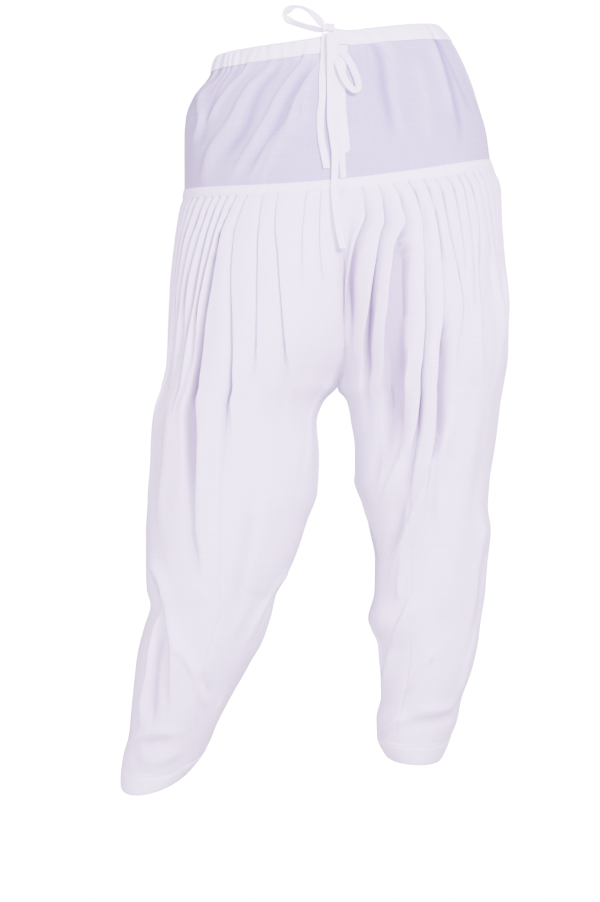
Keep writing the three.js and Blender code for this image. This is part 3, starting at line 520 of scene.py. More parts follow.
yoke_right = yoke_panel("yoke_cambric_right", [(RIGHT, FRONT, 1, SIDE_LAP)], 150)
yoke_back = yoke_panel("yoke_cambric_back", [(RIGHT, BACK, SIDE_LAP, 1), (LEFT, BACK, 1, SIDE_LAP)], 130)
yoke_left = yoke_panel("yoke_cambric_left", [(LEFT, FRONT, SIDE_LAP, 1)], 150)

# Cotton cambric, plain woven and washed: a single layer, so it lets a little light through. Its colours
# are painted greyer and bluer than the same cloth folded double, as painted shade for the dark empty inside
# seen through it, and its last colour is painted shade for the hollows of its folds. Its real threads lie
# 0.3 mm apart, too fine to show, and are drawn 0.9 mm apart.
cambric_single = woven_cotton(
    "cambric_single_layer", "#c6bcd9", "#b9aecf", "#8577ab", 0.0009, 0.00005, 0.0012, alpha=0.9
)
for piece, node, flat, area in (
    (yoke_right, "yoke_front_right", (0.29, 0.175), 0.046),
    (yoke_left, "yoke_front_left", (0.29, 0.175), 0.046),
    (yoke_back, "yoke_back", (0.6, 0.175), 0.096),
):
    hand_over(piece, cambric_single, node)

# --- Placket ----------------------------------------------------------------------------------------
# The facing of the front slit: a doubled strip of the same cotton, sewn on the left yoke from the casing
# to the hip seam. It narrows below the bar of stitches that ends the slit.
PLACKET_FOOT = 142
PLACKET_LIFT = 1.5
PLACKET = curves_of(
    ["down", "near", "far"],
    [
        [CASING_HEIGHT + 1, 0.8, 19],
        [78, 0.8, 18.5],
        [PLACKET_FOOT - 1, 0.8, 16.5],
        [PLACKET_FOOT + 1, 1.5, 10],
        [YOKE_DEPTH - 1, 1.5, 9],
    ],
)


def placket_line(down, shares):
    """Points across the placket, from its near edge at the slit to its far one, and their directions."""
    length = length_of(trunk_level(LEFT, down), FRONT)
    near, far = PLACKET["near"](down), PLACKET["far"](down)
    from_slit = near + (far - near) * np.asarray(shares)
    return trunk_line(LEFT, FRONT, down, 1 - from_slit / length, PLACKET_LIFT)[:3]


placket_rows, placket_places = [], []
for down in np.linspace(CASING_HEIGHT + 1, YOKE_DEPTH - 1, 84):
    shares = np.linspace(1, 0, 19)
    rolled = 0.45 * (np.exp(-((shares / 0.07) ** 2)) + np.exp(-(((1 - shares) / 0.07) ** 2)))
    puckers = 0.14 * np.sin(down / 1.9 + 3 * shares) * np.sin(down / 13)
    points, outward, along = placket_line(down, shares)
    placket_rows.append(points + outward * (puckers - rolled)[:, None])
    placket_places.append(np.stack([along, np.full(19, down)], -1))
placket = cloth_piece("placket_facing", np.array(placket_rows), np.array(placket_places), wall=0.9)


def face_outwards():
    """Turns all faces of the selected piece outwards."""
    bpy.ops.object.mode_set(mode="EDIT")
    bpy.ops.mesh.select_all(action="SELECT")
    bpy.ops.mesh.normals_make_consistent(inside=False)
    bpy.ops.object.mode_set(mode="OBJECT")


# One stitch: a bead of three rings between two points, in shares of its length and thickness.
BEAD_SIDES = 6
BEAD_RINGS = ((-0.38, 0.75), (0, 1), (0.38, 0.75))


def stitch_row(name, points, outward, pitch=3.0, length=2.1, width=0.5, height=0.3):
    """Lockstitches in a row: each is a bead of thread, half sunk in the cloth."""
    points, outward = np.asarray(points), np.asarray(outward)
    gone = travelled(points)
    at = np.arange(pitch / 2, gone[-1], pitch)

    def place(rows, where):
        return np.stack([np.interp(where, gone, rows[:, i]) for i in range(3)], -1)

    centre, out = place(points, at), place(outward, at)
    ahead = place(points, np.minimum(at + 0.5, gone[-1])) - place(points, at - 0.5)
    ahead /= np.linalg.norm(ahead, axis=1)[:, None]
    out -= ahead * (out * ahead).sum(1)[:, None]
    out /= np.linalg.norm(out, axis=1)[:, None]
    across = np.cross(ahead, out)
    turns = np.linspace(0, 2 * np.pi, BEAD_SIDES + 1)[:-1]
    bead = [(-0.5, 0, 0)]
    for lengthwise, thick in BEAD_RINGS:
        bead += [(lengthwise, 0.5 * thick * math.cos(a), 0.5 * thick * math.sin(a)) for a in turns]
    bead.append((0.5, 0, 0))
    bead = np.array(bead) * (length, width, height * 2)
    sides = [(i, (i + 1) % BEAD_SIDES) for i in range(BEAD_SIDES)]
    faces = [(0, 1 + b, 1 + a) for a, b in sides]
    for first in (1, 1 + BEAD_SIDES):
        second = first + BEAD_SIDES
        faces += [(first + a, first + b, second + b, second + a) for a, b in sides]
    faces += [(len(bead) - 1, second + a, second + b) for a, b in sides]
    verts = (
        centre[:, None]
        + bead[None, :, :1] * ahead[:, None]
        + bead[None, :, 1:2] * across[:, None]
        + bead[None, :, 2:] * out[:, None]
    )
    faces = [tuple(len(bead) * s + v for v in face) for s in range(len(at)) for face in faces]
    row = new_piece(name, verts, faces)
    face_outwards()
    bpy.ops.object.shade_smooth()
    return row


def joined(name, rows):
    """The same seam's rows of stitches as one piece."""
    bpy.ops.object.select_all(action="DESELECT")
    for row in rows:
        row.select_set(True)
    bpy.context.view_layer.objects.active = rows[0]
    bpy.ops.object.join()
    rows[0].name = name
    return rows[0]


placket_seams = []
for share in (0.1, 0.9):
    lines = [placket_line(down, [share]) for down in np.linspace(CASING_HEIGHT + 3, YOKE_DEPTH - 2, 60)]
    placket_seams.append(stitch_row("stitch", [p[0] for p, _, _ in lines], [o[0] for _, o, _ in lines]))
for down in (PLACKET_FOOT - 5.5, PLACKET_FOOT - 3.5):
    bar, out, _ = placket_line(down, np.linspace(0.02, 0.98, 12))
    placket_seams.append(stitch_row("stitch", bar, out, pitch=1.3, length=1.6, width=0.8))
placket_stitches = joined("placket_stitches", placket_seams)

# The doubled facing is more opaque and whiter than the single yoke, with firmer, flatter threads. Its last
# colour is a painted shade colour, which none of its pieces calls for.
cambric_double = woven_cotton(
    "cambric_folded_double",
    "#f2eef8",
    "#e9e4f2",
    "#cdc6de",
    0.0009,
    0.00005,
    0.0006,
    slub=0.35,
    roughness=0.85,
)
# Spun polyester-cotton sewing thread: round, smoother than the cloth, with a faint sheen.
sewing_thread, thread_shader = new_material("sewing_thread_spun", Roughness=0.6, Sheen_Weight=0.3)
thread_place = add_node(sewing_thread, "TexCoord")
thread_twist = add_node(
    sewing_thread, "TexNoise", {"Vector": (thread_place, "Object"), "Scale": 2600.0, "Detail": 1.0}
)
thread_tone = add_node(
    sewing_thread,
    "Mix",
    {"Factor": (thread_twist, "Fac"), "A": linear("#dcd5e6"), "B": linear("#ece7f3")},
    data_type="RGBA",
)
sewing_thread.node_tree.links.new(thread_tone.outputs["Result"], thread_shader.inputs["Base Color"])

hand_over(placket, cambric_double, "placket")
hand_over(placket_stitches, sewing_thread)

# --- Waist casing -----------------------------------------------------------------------------------
# The tunnel at the waist: a strip of the cotton folded over the drawstring and stitched down along its
# foot. The tightened string gathers it unevenly, and its two ends stand open at the front slit.
CASING_MOUTH = 3
# A loop across the strip, from the stitched foot up the outer layer, over the fold and down the inner
# layer: how far down it is, and how far it stands off the yoke's line.
CASING_LOOP = [
    (20.8, 0.95), (19.6, 1.0), (18.4, 0.9), (17.2, 1.35), (15, 1.85), (12, 2.1), (9, 2.15), (6, 2.05),
    (3.2, 1.7), (1.2, 1.0), (0.2, -0.2), (0.2, -1.1), (1.4, -2.1), (4, -2.4), (8, -2.45), (12, -2.4),
    (16, -2.1), (18.2, -0.9), (20.6, -0.6),
]  # fmt: skip
STRIP_STEP = 2.4
casing_rows, casing_places = [], []
for place_on_strip, (down, off) in enumerate(reversed(CASING_LOOP)):
    points, outward, along, _, places, _ = trunk_walk(way_round(), down, 120, inset=CASING_MOUTH / 2)
    tight = 0.25 * np.sin(along / 2.1 + 2 * np.sin(along / 17)) * (1 - smoothstep(14, 21, down))
    casing_rows.append(points + outward * (off + tight)[:, None])
    places[:, 1] = STRIP_STEP * place_on_strip
    casing_places.append(places)
casing = cloth_piece(
    "waist_casing_tunnel", np.array(casing_rows), np.array(casing_places), wall=0.5, flip=True
)


def trunk_seam(name, down, lift):
    """A row of stitches right round the trunk."""
    points, outward, *_ = trunk_walk(way_round(0.99), down, 170, lift, welded=False)
    return stitch_row(name, points, outward)


casing_stitches = trunk_seam("casing_stitches", 18.7, 0.95)
hand_over(casing, cambric_double, "waist_casing")
hand_over(casing_stitches, sewing_thread)

# --- Drawstring -------------------------------------------------------------------------------------
# A flat white cotton tape, 9 mm wide, comes out at the casing's mouth and is tied there in a bow: a knot,
# two loops and two free ends that hang down the front. Each stretch is a free length of the same tape.
TAPE_WIDTH = 9
TAPE_THICKNESS = 1.8
KNOT_WIDTH, KNOT_DEPTH, KNOT_HEIGHT = 12, 9, 11.5
# The tapes and the casing lie this far apart under the knot.
KNOT_GAP = 0.3
CASING_LIFT = 1.5
KNOT_AT = np.array([2, TRUNK["front"](MOUTH_LIFT[LEFT]) - CASING_LIFT - KNOT_GAP - KNOT_DEPTH / 2, 2])
KNOT_FOOT = KNOT_AT[2] - KNOT_HEIGHT / 2 - 2 * KNOT_GAP
KNOT_SIDE = KNOT_AT[0] - KNOT_WIDTH / 2 - KNOT_GAP
LAYER = TAPE_THICKNESS + KNOT_GAP


def layer_y(layer):
    """Under the knot the tapes hang one behind the other, from the cloth outwards."""
    return KNOT_AT[1] + LAYER * (1.5 - layer)


def cloth_front(x, z):
    """The foremost cloth at a place seen from the front."""
    down = -z
    for _ in range(4):
        side = RIGHT if x < TRUNK["mid"](down) else LEFT
        level = trunk_level(side, down)
        point = on_cloth(level, FRONT, length_of(level, FRONT) - abs(x - TRUNK["mid"](down)))[0]
        down += point[2] - z
    return point[1]


def on_front(rows):
    """Route points on the cloth: x, z and how far the tape's middle lies in front of it, then its face."""
    return [[x, cloth_front(x, z) - off, z, *face] for x, z, off, *face in rows]


# x, y, z of the tape's middle, then the direction that its broad side faces.
LOOP_RIGHT_ROUTE = [
    [KNOT_SIDE, KNOT_AT[1], 4.8, 0, -0.5, 0.87],
    [KNOT_SIDE - 2, KNOT_AT[1], 4.9, 0, -0.5, 0.87],
    [-9.5, KNOT_AT[1] - 1, 9.5, -0.5, -0.5, 0.7],
    [-17, KNOT_AT[1] - 3, 17.5, -0.5, -0.5, 0.7],
    [-28, KNOT_AT[1] - 4, 25, -0.1, -0.5, 0.9],
    [-40, KNOT_AT[1] - 4, 28, 0.2, -0.5, 0.9],
    [-50, KNOT_AT[1] - 4, 24, 0.8, -0.6, 0.4],
    [-54.5, KNOT_AT[1] - 4, 17.5, 1, -0.6, 0],
    [-50, KNOT_AT[1] - 4, 11.5, 0.7, -0.6, -0.5],
    [-40, KNOT_AT[1] - 3.5, 7, 0.3, -0.6, -0.8],
    [-26, KNOT_AT[1] - 2.5, 2.7, 0.2, -0.6, -0.8],
    [-13, KNOT_AT[1] - 1, 0, 0.1, -0.6, -0.8],
    [KNOT_SIDE - 2, KNOT_AT[1], -0.7, 0, -0.5, -0.87],
    [KNOT_SIDE, KNOT_AT[1], -0.6, 0, -0.5, -0.87],
]
LOOP_LEFT_ROUTE = [
    [3.6, layer_y(2), KNOT_FOOT, 0, -1, 0],
    *on_front([
        [4.2, -13, 9.8, 0, -1, 0.2],
        [8, -30, 6.7, 0.1, -1, 0.1],
        [14.5, -48, 6.4, 0.2, -1, 0.1],
        [20, -62, 6.6, 0.3, -1, 0.1],
        [27.5, -74, 6.8, 0.3, -1, 0.2],
        [34.5, -79, 6.6, 0, -1, 0.4],
        [38.5, -74, 6, -0.4, -1, 0.1],
        [36.5, -62, 5.4, -0.5, -1, 0],
        [30, -46, 4.9, -0.4, -1, 0],
        [22, -33.5, 4.4, -0.3, -1, 0],
        [13, -24.5, 4.6, -0.1, -1, 0],
        [5.6, -15, 7, 0, -1, 0.2],
    ]),
    [4.8, layer_y(1), KNOT_FOOT, 0, -1, 0],
]  # fmt: skip
END_LONG_ROUTE = [
    [3.3, layer_y(3), KNOT_FOOT, 0, -1, 0],
    *on_front([
        [3.3, -13, 12.2, 0, -1, 0.2],
        [3.3, -32, 10.8, 0, -1, 0.1],
        [3.3, -50, 7.9, 0, -1, 0],
        [3.3, -66, 5, 0, -1, 0],
        [3.2, -92, 4, 0, -1, 0],
        [3.6, -118, 3.8, 0, -1, 0],
        [6, -138, 3.8, 0.1, -1, 0],
        [9, -158, 4, 0.1, -1, 0],
        [8.5, -184, 4, 0, -1, 0],
        [8, -206, 5, 0, -1, 0],
        [10, -230, 7, 0, -1, 0],
        [13.5, -254, 8, 0.1, -1, 0],
        [18.5, -279, 8.5, 0.1, -1, 0],
    ]),
]  # fmt: skip
END_SHORT_ROUTE = [
    [-3.3, layer_y(0), KNOT_FOOT, 0, -1, 0],
    *on_front([
        [-3.4, -13, 5, 0, -1, 0.2],
        [-4.2, -24, 4.6, 0, -1, 0.1],
        [-5, -38, 2.6, -0.1, -1, 0],
        [-6.5, -60, 1.9, -0.1, -1, 0],
        [-7, -88, 1.9, -0.1, -1, 0],
        [-9, -108, 1.9, -0.1, -1, 0],
        [-9.5, -124, 1.9, -0.1, -1, 0],
        [-8, -142, 1.9, 0, -1, 0],
        [-4.5, -160, 1.9, 0.1, -1, 0],
        [-1.5, -178, 1.9, 0.1, -1, 0],
    ]),
]  # fmt: skip

# Half of the tape's cross-section, in shares of its width and thickness: firm rolled edges, a row of
# stitches sunk just inside each, and a slightly hollow middle.
TAPE_SECTION = [
    (0.5, 0), (0.485, 0.34), (0.44, 0.5), (0.38, 0.42), (0.34, 0.26), (0.29, 0.4), (0.15, 0.36),
    (0, 0.33), (-0.15, 0.36), (-0.29, 0.4), (-0.34, 0.26), (-0.38, 0.42), (-0.44, 0.5), (-0.485, 0.34),
]  # fmt: skip


def route_curve(route, count, closed=False):
    """Even points on a smooth curve through the route, with all its columns, and the curve's length."""
    route = np.array(route, float)
    if closed:
        padded = np.concatenate([route[-1:], route, route[:2]])
    else:
        padded = np.concatenate([2 * route[:1] - route[1:2], route, 2 * route[-1:] - route[-2:-1]])
    curve = []
    for four in zip(padded, padded[1:], padded[2:], padded[3:]):
        before, a, b, after = four
        steps = [max(1e-4, np.linalg.norm(q[:3] - p[:3]) ** 0.5) for p, q in zip(four, four[1:])]
        into = (a - before) / steps[0] - (b - before) / (steps[0] + steps[1]) + (b - a) / steps[1]
        leave = (b - a) / steps[1] - (after - a) / (steps[1] + steps[2]) + (after - b) / steps[2]
        for t in np.linspace(0, 1, 25)[:-1]:
            curve.append(hermite(t, a, into * steps[1], b, leave * steps[1]))
    curve.append(padded[-2])
    curve = np.array(curve)
    gone = travelled(curve[:, :3])
    at = np.linspace(0, gone[-1], count + 1)
    return np.stack([np.interp(at, gone, column) for column in curve.T], -1), gone[-1]


def tape_mesh(name, route, count, closed=False, width=TAPE_WIDTH, thickness=TAPE_THICKNESS, turned_in=0.0):
    """The flat tape along a route. A free end is turned in and stitched, "turned_in" millimetres long."""
    curve, length = route_curve(route, count, closed)
    centre, face = curve[:, :3], curve[:, 3:]
    tangent = np.gradient(centre, axis=0)
    if closed:
        tangent[0] = tangent[-1] = centre[1] - centre[-2]
    tangent /= np.linalg.norm(tangent, axis=1)[:, None]
    normal = face - tangent * (face * tangent).sum(1)[:, None]
    normal /= np.linalg.norm(normal, axis=1)[:, None]
    across = np.cross(tangent, normal)
    upper = np.array(TAPE_SECTION)
    section = np.concatenate([upper, -upper])
    gone = np.linspace(0, length, count + 1)
    swell = 1 + 0.5 * smoothstep(length - turned_in - 0.4, length - turned_in, gone) * (turned_in > 0)
    ripple = 0.25 * np.sin(gone / 3.1) * np.sin(gone / 11 + 1)
    narrow = 1 + 0.04 * np.sin(gone / 7.7)
    verts = (
        centre[:, None]
        + across[:, None] * (section[None, :, :1] * (width * narrow)[:, None, None])
        + normal[:, None] * (section[None, :, 1:] * (thickness * swell)[:, None, None])
        + normal[:, None] * (ripple[:, None] * (np.abs(section[:, 0]) * 2)[None] ** 2)[..., None]
    )
    rings, sides = verts.shape[:2]
    kept = rings - 1 if closed else rings
    corners = grid_corners(rings, sides + 1)
    faces = np.stack([(r % kept) * sides + c % sides for r, c in corners], -1).reshape(-1, 4).tolist()
    round_tape = [*travelled(section * (width, thickness)), 2 * (width + thickness)]
    round_tape = np.array(round_tape)
    places = np.stack([np.stack([round_tape[c], gone[r]], -1) for r, c in corners], -2).reshape(-1, 2)
    if not closed:
        faces += [list(range(sides)), list(range((rings - 1) * sides, rings * sides))]
        places = np.concatenate([places, np.zeros((2 * sides, 2))])
    tape = new_piece(name, verts[:kept], faces, places)
    face_outwards()
    bpy.ops.object.shade_smooth_by_angle(angle=math.radians(60))
    return tape, centre


def ring_route(depth, height, lean):
    """A closed turn of tape round the knot's middle, across its front and back."""
    route = []
    for turn in np.linspace(0, 2 * np.pi, 13)[:-1]:
        out = np.array([math.sin(turn) * lean, -math.cos(turn) * depth, math.sin(turn) * height])
        route.append([*(KNOT_AT + out), *(out / np.linalg.norm(out))])
    return route


# Woven cotton tape: closer and whiter than the cloth, with its own fine weave along the length. Its last
# colour is a painted shade colour, which the tape doesn't call for.
tape_cotton = woven_cotton(
    "cotton_tape_woven", "#f0eef5", "#e6e3ee", "#cfcadd", 0.0011, 0.00012, 0.0003, slub=0.3, roughness=0.82
)
# The knot: one turn of the tape over a core of its crossing ends, which leans a little.
KNOT_CORE = ((-5.9, 0.2, 0.4), (-3, 0.2, 0.3), (0, 0, 0), (3, 0, -0.3), (5.7, 0.3, -0.8))
core_route = [[*(KNOT_AT + place), 0, -1, 0.3] for place in KNOT_CORE]
knot_wrap, _ = tape_mesh("knot_wrap", ring_route(3.3, 4.6, 0.5), 48, closed=True, width=11)
knot_inner, _ = tape_mesh("knot_inner", core_route, 16, width=10, thickness=6.2)
knot = joined("drawstring_bow_knot", [knot_wrap, knot_inner])
hand_over(knot, tape_cotton, "drawstring_knot")
for name, node, route, length, far_end, lay, turned_in, also in (
    ("tape_loop_right", "drawstring_loop_right", LOOP_RIGHT_ROUTE, 0.118, "object", "loose", 0, []),
    ("tape_loop_left", "drawstring_loop_left", LOOP_LEFT_ROUTE, 0.172, "object", "hanging", 0, []),
    ("tape_end_long", "drawstring_end_long", END_LONG_ROUTE, 0.28, "bare", "hanging", 5, [knot]),
    ("tape_end_short", "drawstring_end_short", END_SHORT_ROUTE, 0.178, "bare", "hanging", 5, []),
):
    tape, path = tape_mesh(name, route, 90, turned_in=turned_in)
    hand_over(tape, tape_cotton, node)

# --- Hip band ---------------------------------------------------------------------------------------
# A doubled band over the hip seam: the pleated legs are stitched in under its lower edge, the yoke under
# its upper one. Two rows of stitches hold it, and the layers of pleats below make it slightly uneven.
BAND_HEIGHT = 13
BAND_LIFT = 0.8
BAND_TOP = YOKE_DEPTH - SEAM_LAP
BAND_FOOT = YOKE_DEPTH + BAND_HEIGHT
STITCHED_IN = 1.6
band_rows, band_places = [], []
for share in np.linspace(0, 1, 15):
    down = BAND_TOP + (BAND_FOOT - BAND_TOP) * share
    puff = 0.9 * math.sin(math.pi * share) ** 0.6
    puff -= 0.5 * sum(math.exp(-(((share - seam) / 0.05) ** 2)) for seam in (0.12, 0.88))
    points, outward, along, sides, places, _ = trunk_walk(way_round(), down, 110, BAND_LIFT)
    uneven = share * (0.3 * np.sin(along / 4.3 + sides) + 0.25 * np.sin(along / 2.2))
    band_rows.append(points + outward * (puff + uneven)[:, None])
    band_places.append(places)
hip_band = cloth_piece("hip_band_double", np.array(band_rows), np.array(band_places), wall=1.2, closed=True)
band_seams = [
    trunk_seam("stitch", down, BAND_LIFT + 0.3) for down in (BAND_TOP + STITCHED_IN, BAND_FOOT - STITCHED_IN)
]
band_stitches = joined("hip_band_stitches", band_seams)
hand_over(hip_band, cambric_double, "hip_band")
hand_over(band_stitches, sewing_thread)

# --- Legs -------------------------------------------------------------------------------------------
# Wide legs of the same cotton, each a main panel round the outside and two inner panels (kali) that meet
# in the inner seam. Their tops are laid in knife pleats that face the sides, pressed flat under the band.
# Lower down the pleats open into long soft folds and the cloth drags towards the narrow ankle.
LEG_COLUMNS = ["down", "inner", "outer", "cant", "front", "back", "pitch"]
LEG = {
    RIGHT: curves_of(LEG_COLUMNS, [
        [452, 13, -216, 1, -137, 136, 0],
        [473, -5, -224, 3.5, -136, 131.5, 0],
        [500, -13, -227, 5, -135, 127, 0],
        [544, -10, -229, 6, -134, 122, 0],
        [590, -12, -233, 6.5, -132, 115, 0],
        [631, -26, -235, 6.5, -130, 106, 0],
        [672, -39, -235, 8, -127, 98, 0.02],
        [705, -55, -234, 5, -122, 92, 0.04],
        [723, -65, -229, 7, -118, 90, 0.06],
        [750, -71, -237, 8.5, -112, 90, 0.1],
        [783, -82, -246, 8.5, -103, 92, 0.14],
        [818, -100, -251, 11.5, -92, 92, 0.18],
        [855, -121, -255, 11.5, -80, 88, 0.23],
        [891, -140, -259, 11.5, -66, 82, 0.28],
        [920, -153, -266, 10, -54, 74, 0.32],
        [952, -173, -269, 15, -44, 64, 0.35],
    ]),
    LEFT: curves_of(LEG_COLUMNS, [
        [452, 13, 229, -1, -137, 136, 0],
        [466, 25, 226, 0, -135.8, 133, 0],
        [492, 31, 222, 0, -133.5, 127.5, 0],
        [527, 36, 217, 2, -130.2, 121, 0],
        [570, 36, 211, 2, -126, 114, 0],
        [605, 48, 209, 1, -122, 108, 0],
        [635, 55, 212, 0, -118, 103, 0],
        [675, 62, 208, 1, -112, 98, 0.01],
        [716, 61, 205, 0, -106, 96, 0.02],
        [750, 53, 200, 0, -100, 95, 0.03],
        [781, 66, 196, 0, -95, 93, 0.04],
        [820, 69, 187, 0, -88, 88, 0.05],
        [852, 70, 176, 0, -80, 83, 0.06],
        [880, 64, 170, 0, -74, 79, 0.07],
        [902, 65, 161, 0, -69, 74, 0.08],
        [928, 75, 149, 2, -60, 64, 0.1],
    ]),
}  # fmt: skip


def leg_level(side, down):
    """One level of one leg: open towards the other leg above the crotch, a whole ring below it."""
    if down <= CROTCH_DOWN:
        return trunk_level(side, down)
    leg = {name: curve(down) for name, curve in LEG[side].items()}
    return {
        "fork": 0,
        "half_width": (leg["outer"] - leg["inner"]) / 2,
        "centre_x": (leg["outer"] + leg["inner"]) / 2,
        "centre_y": (leg["front"] + leg["back"]) / 2,
        "half_depth": (leg["back"] - leg["front"]) / 2,
        "inner": leg["inner"],
        "outer": leg["outer"],
        "inner_z": -down + leg["cant"],
        "outer_z": -down - leg["cant"],
        "dip": {FRONT: 0, BACK: 0},
        "pitch": leg["pitch"],
    }


# Pleats of a leg's front, from the centre seam out to the side. "crest" is how far the folded edge stands
# out, "hollow" how deep the cloth drops just outward of it, "reach" how far below the seam it fades and
# "snap" how quickly the cloth comes back up. Below "gapes" the pleat stands open over the share "open" of
# the way to the next edge. "shade" is how dark the painted shade in the narrow gap along its folded edge is.
# Then come the depth and the distance from the side line of that edge.
PLEATS = {
    # crest, hollow, reach, snap, gapes, open, shade, then down and along
    RIGHT: [
        [2, 1, 170, 3, 0, 0, 0.15, (187, 254), (290, 274), (440, 312), (600, 330), (930, 188)],
        [2, 1, 150, 3, 0, 0, 0.15, (187, 236), (290, 250), (440, 283), (600, 300), (930, 175)],
        [5, 3, 340, 5, 0, 0, 0.3, (187, 199), (230, 208), (275, 220), (320, 228), (399, 241), (493, 268),
         (600, 275), (930, 162)],
        [5, 2.5, 310, 5, 0, 0, 0.3, (187, 179), (229, 187), (274, 194), (321, 199), (422, 206), (508, 218),
         (600, 232), (930, 149)],
        [6, 7, 400, 8, 0, 0, 1.5, (187, 157), (228, 156), (267, 159), (320, 165), (368, 173), (421, 180),
         (507, 188), (600, 187), (930, 136)],
        [9, 12, 430, 2.4, 195, 0.75, 1.6, (187, 142), (243, 141), (302, 141), (361, 138), (451, 142),
         (491, 146), (566, 141), (660, 139), (930, 124)],
        [6, 7, 250, 1.8, 130, 0.4, 1.4, (187, 129), (245, 127), (298, 121), (346, 116), (440, 112),
         (600, 116), (930, 112)],
        [5, 6.5, 310, 1.8, 120, 0.4, 1.4, (187, 117), (257, 113), (313, 108), (440, 98), (600, 98),
         (930, 100)],
        [5, 6.5, 230, 1.8, 120, 0.4, 1.4, (187, 105), (219, 103), (277, 95), (303, 91), (440, 84),
         (600, 84), (930, 88)],
        [5, 6, 280, 1.8, 120, 0.4, 1.3, (187, 92), (222, 90), (251, 83), (306, 77), (440, 68), (600, 70),
         (930, 76)],
        [5, 6.5, 200, 1.8, 120, 0.4, 1.3, (187, 76), (290, 64), (440, 55), (600, 59), (930, 64)],
        [4, 6, 330, 1.8, 120, 0.4, 1.2, (187, 62), (290, 52), (440, 44), (600, 48), (930, 52)],
        [4, 6, 180, 1.8, 120, 0.4, 1.2, (187, 48), (290, 40), (440, 33), (600, 36), (930, 40)],
        [4, 5, 260, 1.8, 120, 0.35, 1.1, (187, 33), (290, 27), (440, 22), (600, 24), (930, 28)],
        [3, 3, 200, 2.4, 0, 0, 0.9, (187, 14), (290, 11), (440, 9), (600, 10), (930, 14)],
    ],
    LEFT: [
        [7, 10, 240, 1.6, 0, 0, 1.0, (187, 252), (209, 258), (226, 260), (241, 267), (255, 274), (298, 288),
         (327, 295), (440, 316), (600, 286), (930, 170)],
        [8, 12, 330, 1.6, 0, 0, 1.2, (187, 231), (214, 236), (234, 238), (251, 245), (271, 251), (300, 259),
         (354, 274), (440, 287), (600, 258), (930, 156)],
        [9, 14, 400, 4, 215, 0.56, 0.9, (187, 213), (213, 213), (237, 213), (252, 222), (267, 231),
         (290, 237), (347, 250), (378, 254), (440, 252), (600, 228), (930, 142)],
        [8, 8, 470, 2.4, 0, 0, 1.5, (187, 192), (239, 191), (262, 193), (292, 196), (332, 203), (360, 206),
         (424, 208), (464, 200), (508, 194), (600, 192), (930, 129)],
        [9, 11, 480, 4, 330, 0.4, 1.5, (187, 171), (209, 173), (255, 173), (305, 177), (361, 185),
         (416, 189), (443, 185), (483, 176), (524, 169), (600, 162), (930, 116)],
        [4.5, 4.5, 270, 4, 0, 0, 1.5, (187, 155), (259, 153), (301, 150), (345, 151), (370, 154),
         (412, 159), (483, 153), (600, 142), (930, 104)],
        [4, 4.5, 150, 4, 0, 0, 1.4, (187, 137), (247, 134), (300, 135), (371, 139), (440, 136), (600, 124),
         (930, 92)],
        [4, 4.5, 190, 4, 0, 0, 1.4, (187, 120), (234, 119), (256, 118), (300, 124), (371, 131), (440, 125),
         (600, 108), (930, 81)],
        [4.5, 4.5, 270, 5, 0, 0, 1.5, (187, 108), (208, 106), (227, 103), (252, 103), (281, 109),
         (314, 117), (341, 121), (371, 121), (440, 112), (600, 92), (930, 70)],
        [4.5, 4.5, 150, 4, 0, 0, 1.2, (187, 91), (290, 86), (371, 94), (440, 90), (600, 77), (930, 59)],
        [4.5, 4.5, 290, 3, 0, 0, 1.1, (187, 77), (290, 71), (440, 70), (600, 63), (930, 49)],
        [4.5, 4.5, 170, 3, 0, 0, 1.1, (187, 61), (290, 55), (440, 53), (600, 49), (930, 39)],
        [4.5, 4.5, 250, 3, 190, 0.3, 1, (187, 44), (290, 41), (440, 38), (600, 35), (930, 29)],
        [4, 4.5, 140, 3, 0, 0, 1, (187, 27), (290, 26), (440, 24), (600, 22), (930, 19)],
        [3, 3, 210, 2.4, 0, 0, 0.9, (187, 10), (290, 10), (440, 9), (600, 9), (930, 9)],
    ],
}  # fmt: skip
PLEAT_COUNT = len(PLEATS[RIGHT])
# The first and last columns are the centre seam and the side line, which have no pleat of their own.
PLEAT_ENDS = (0, 0, 1, 2, 0, 0, 0)
PLEAT_VALUES, PLEAT_EDGES = {}, {}
for side, rows in PLEATS.items():
    PLEAT_VALUES[side] = [
        np.array([end, *(row[i] for row in rows), end], float) for i, end in enumerate(PLEAT_ENDS)
    ]
    PLEAT_EDGES[side] = [smooth_curve(*zip(*row[len(PLEAT_ENDS) :])) for row in rows]
# The kali is sewn to the main panel in the hollow of this pleat.
KALI_PLEAT = {RIGHT: 5, LEFT: 4}
# The legs' tops go up under the band.
LEG_TOP = BAND_FOOT - 1
PLEAT_OPENS_OVER = 60
# How far a folded edge leans outward over its hollow, in shares of its height.
OVERHANG = 0.55
# At the side line the gaps are seen askew; this keeps their painted shade from spreading there.
LEAST_FACING = 0.55
# The painted shade of a gap fades over about this width, in millimetres.
GAP_SHADE_WIDTH = 1.5

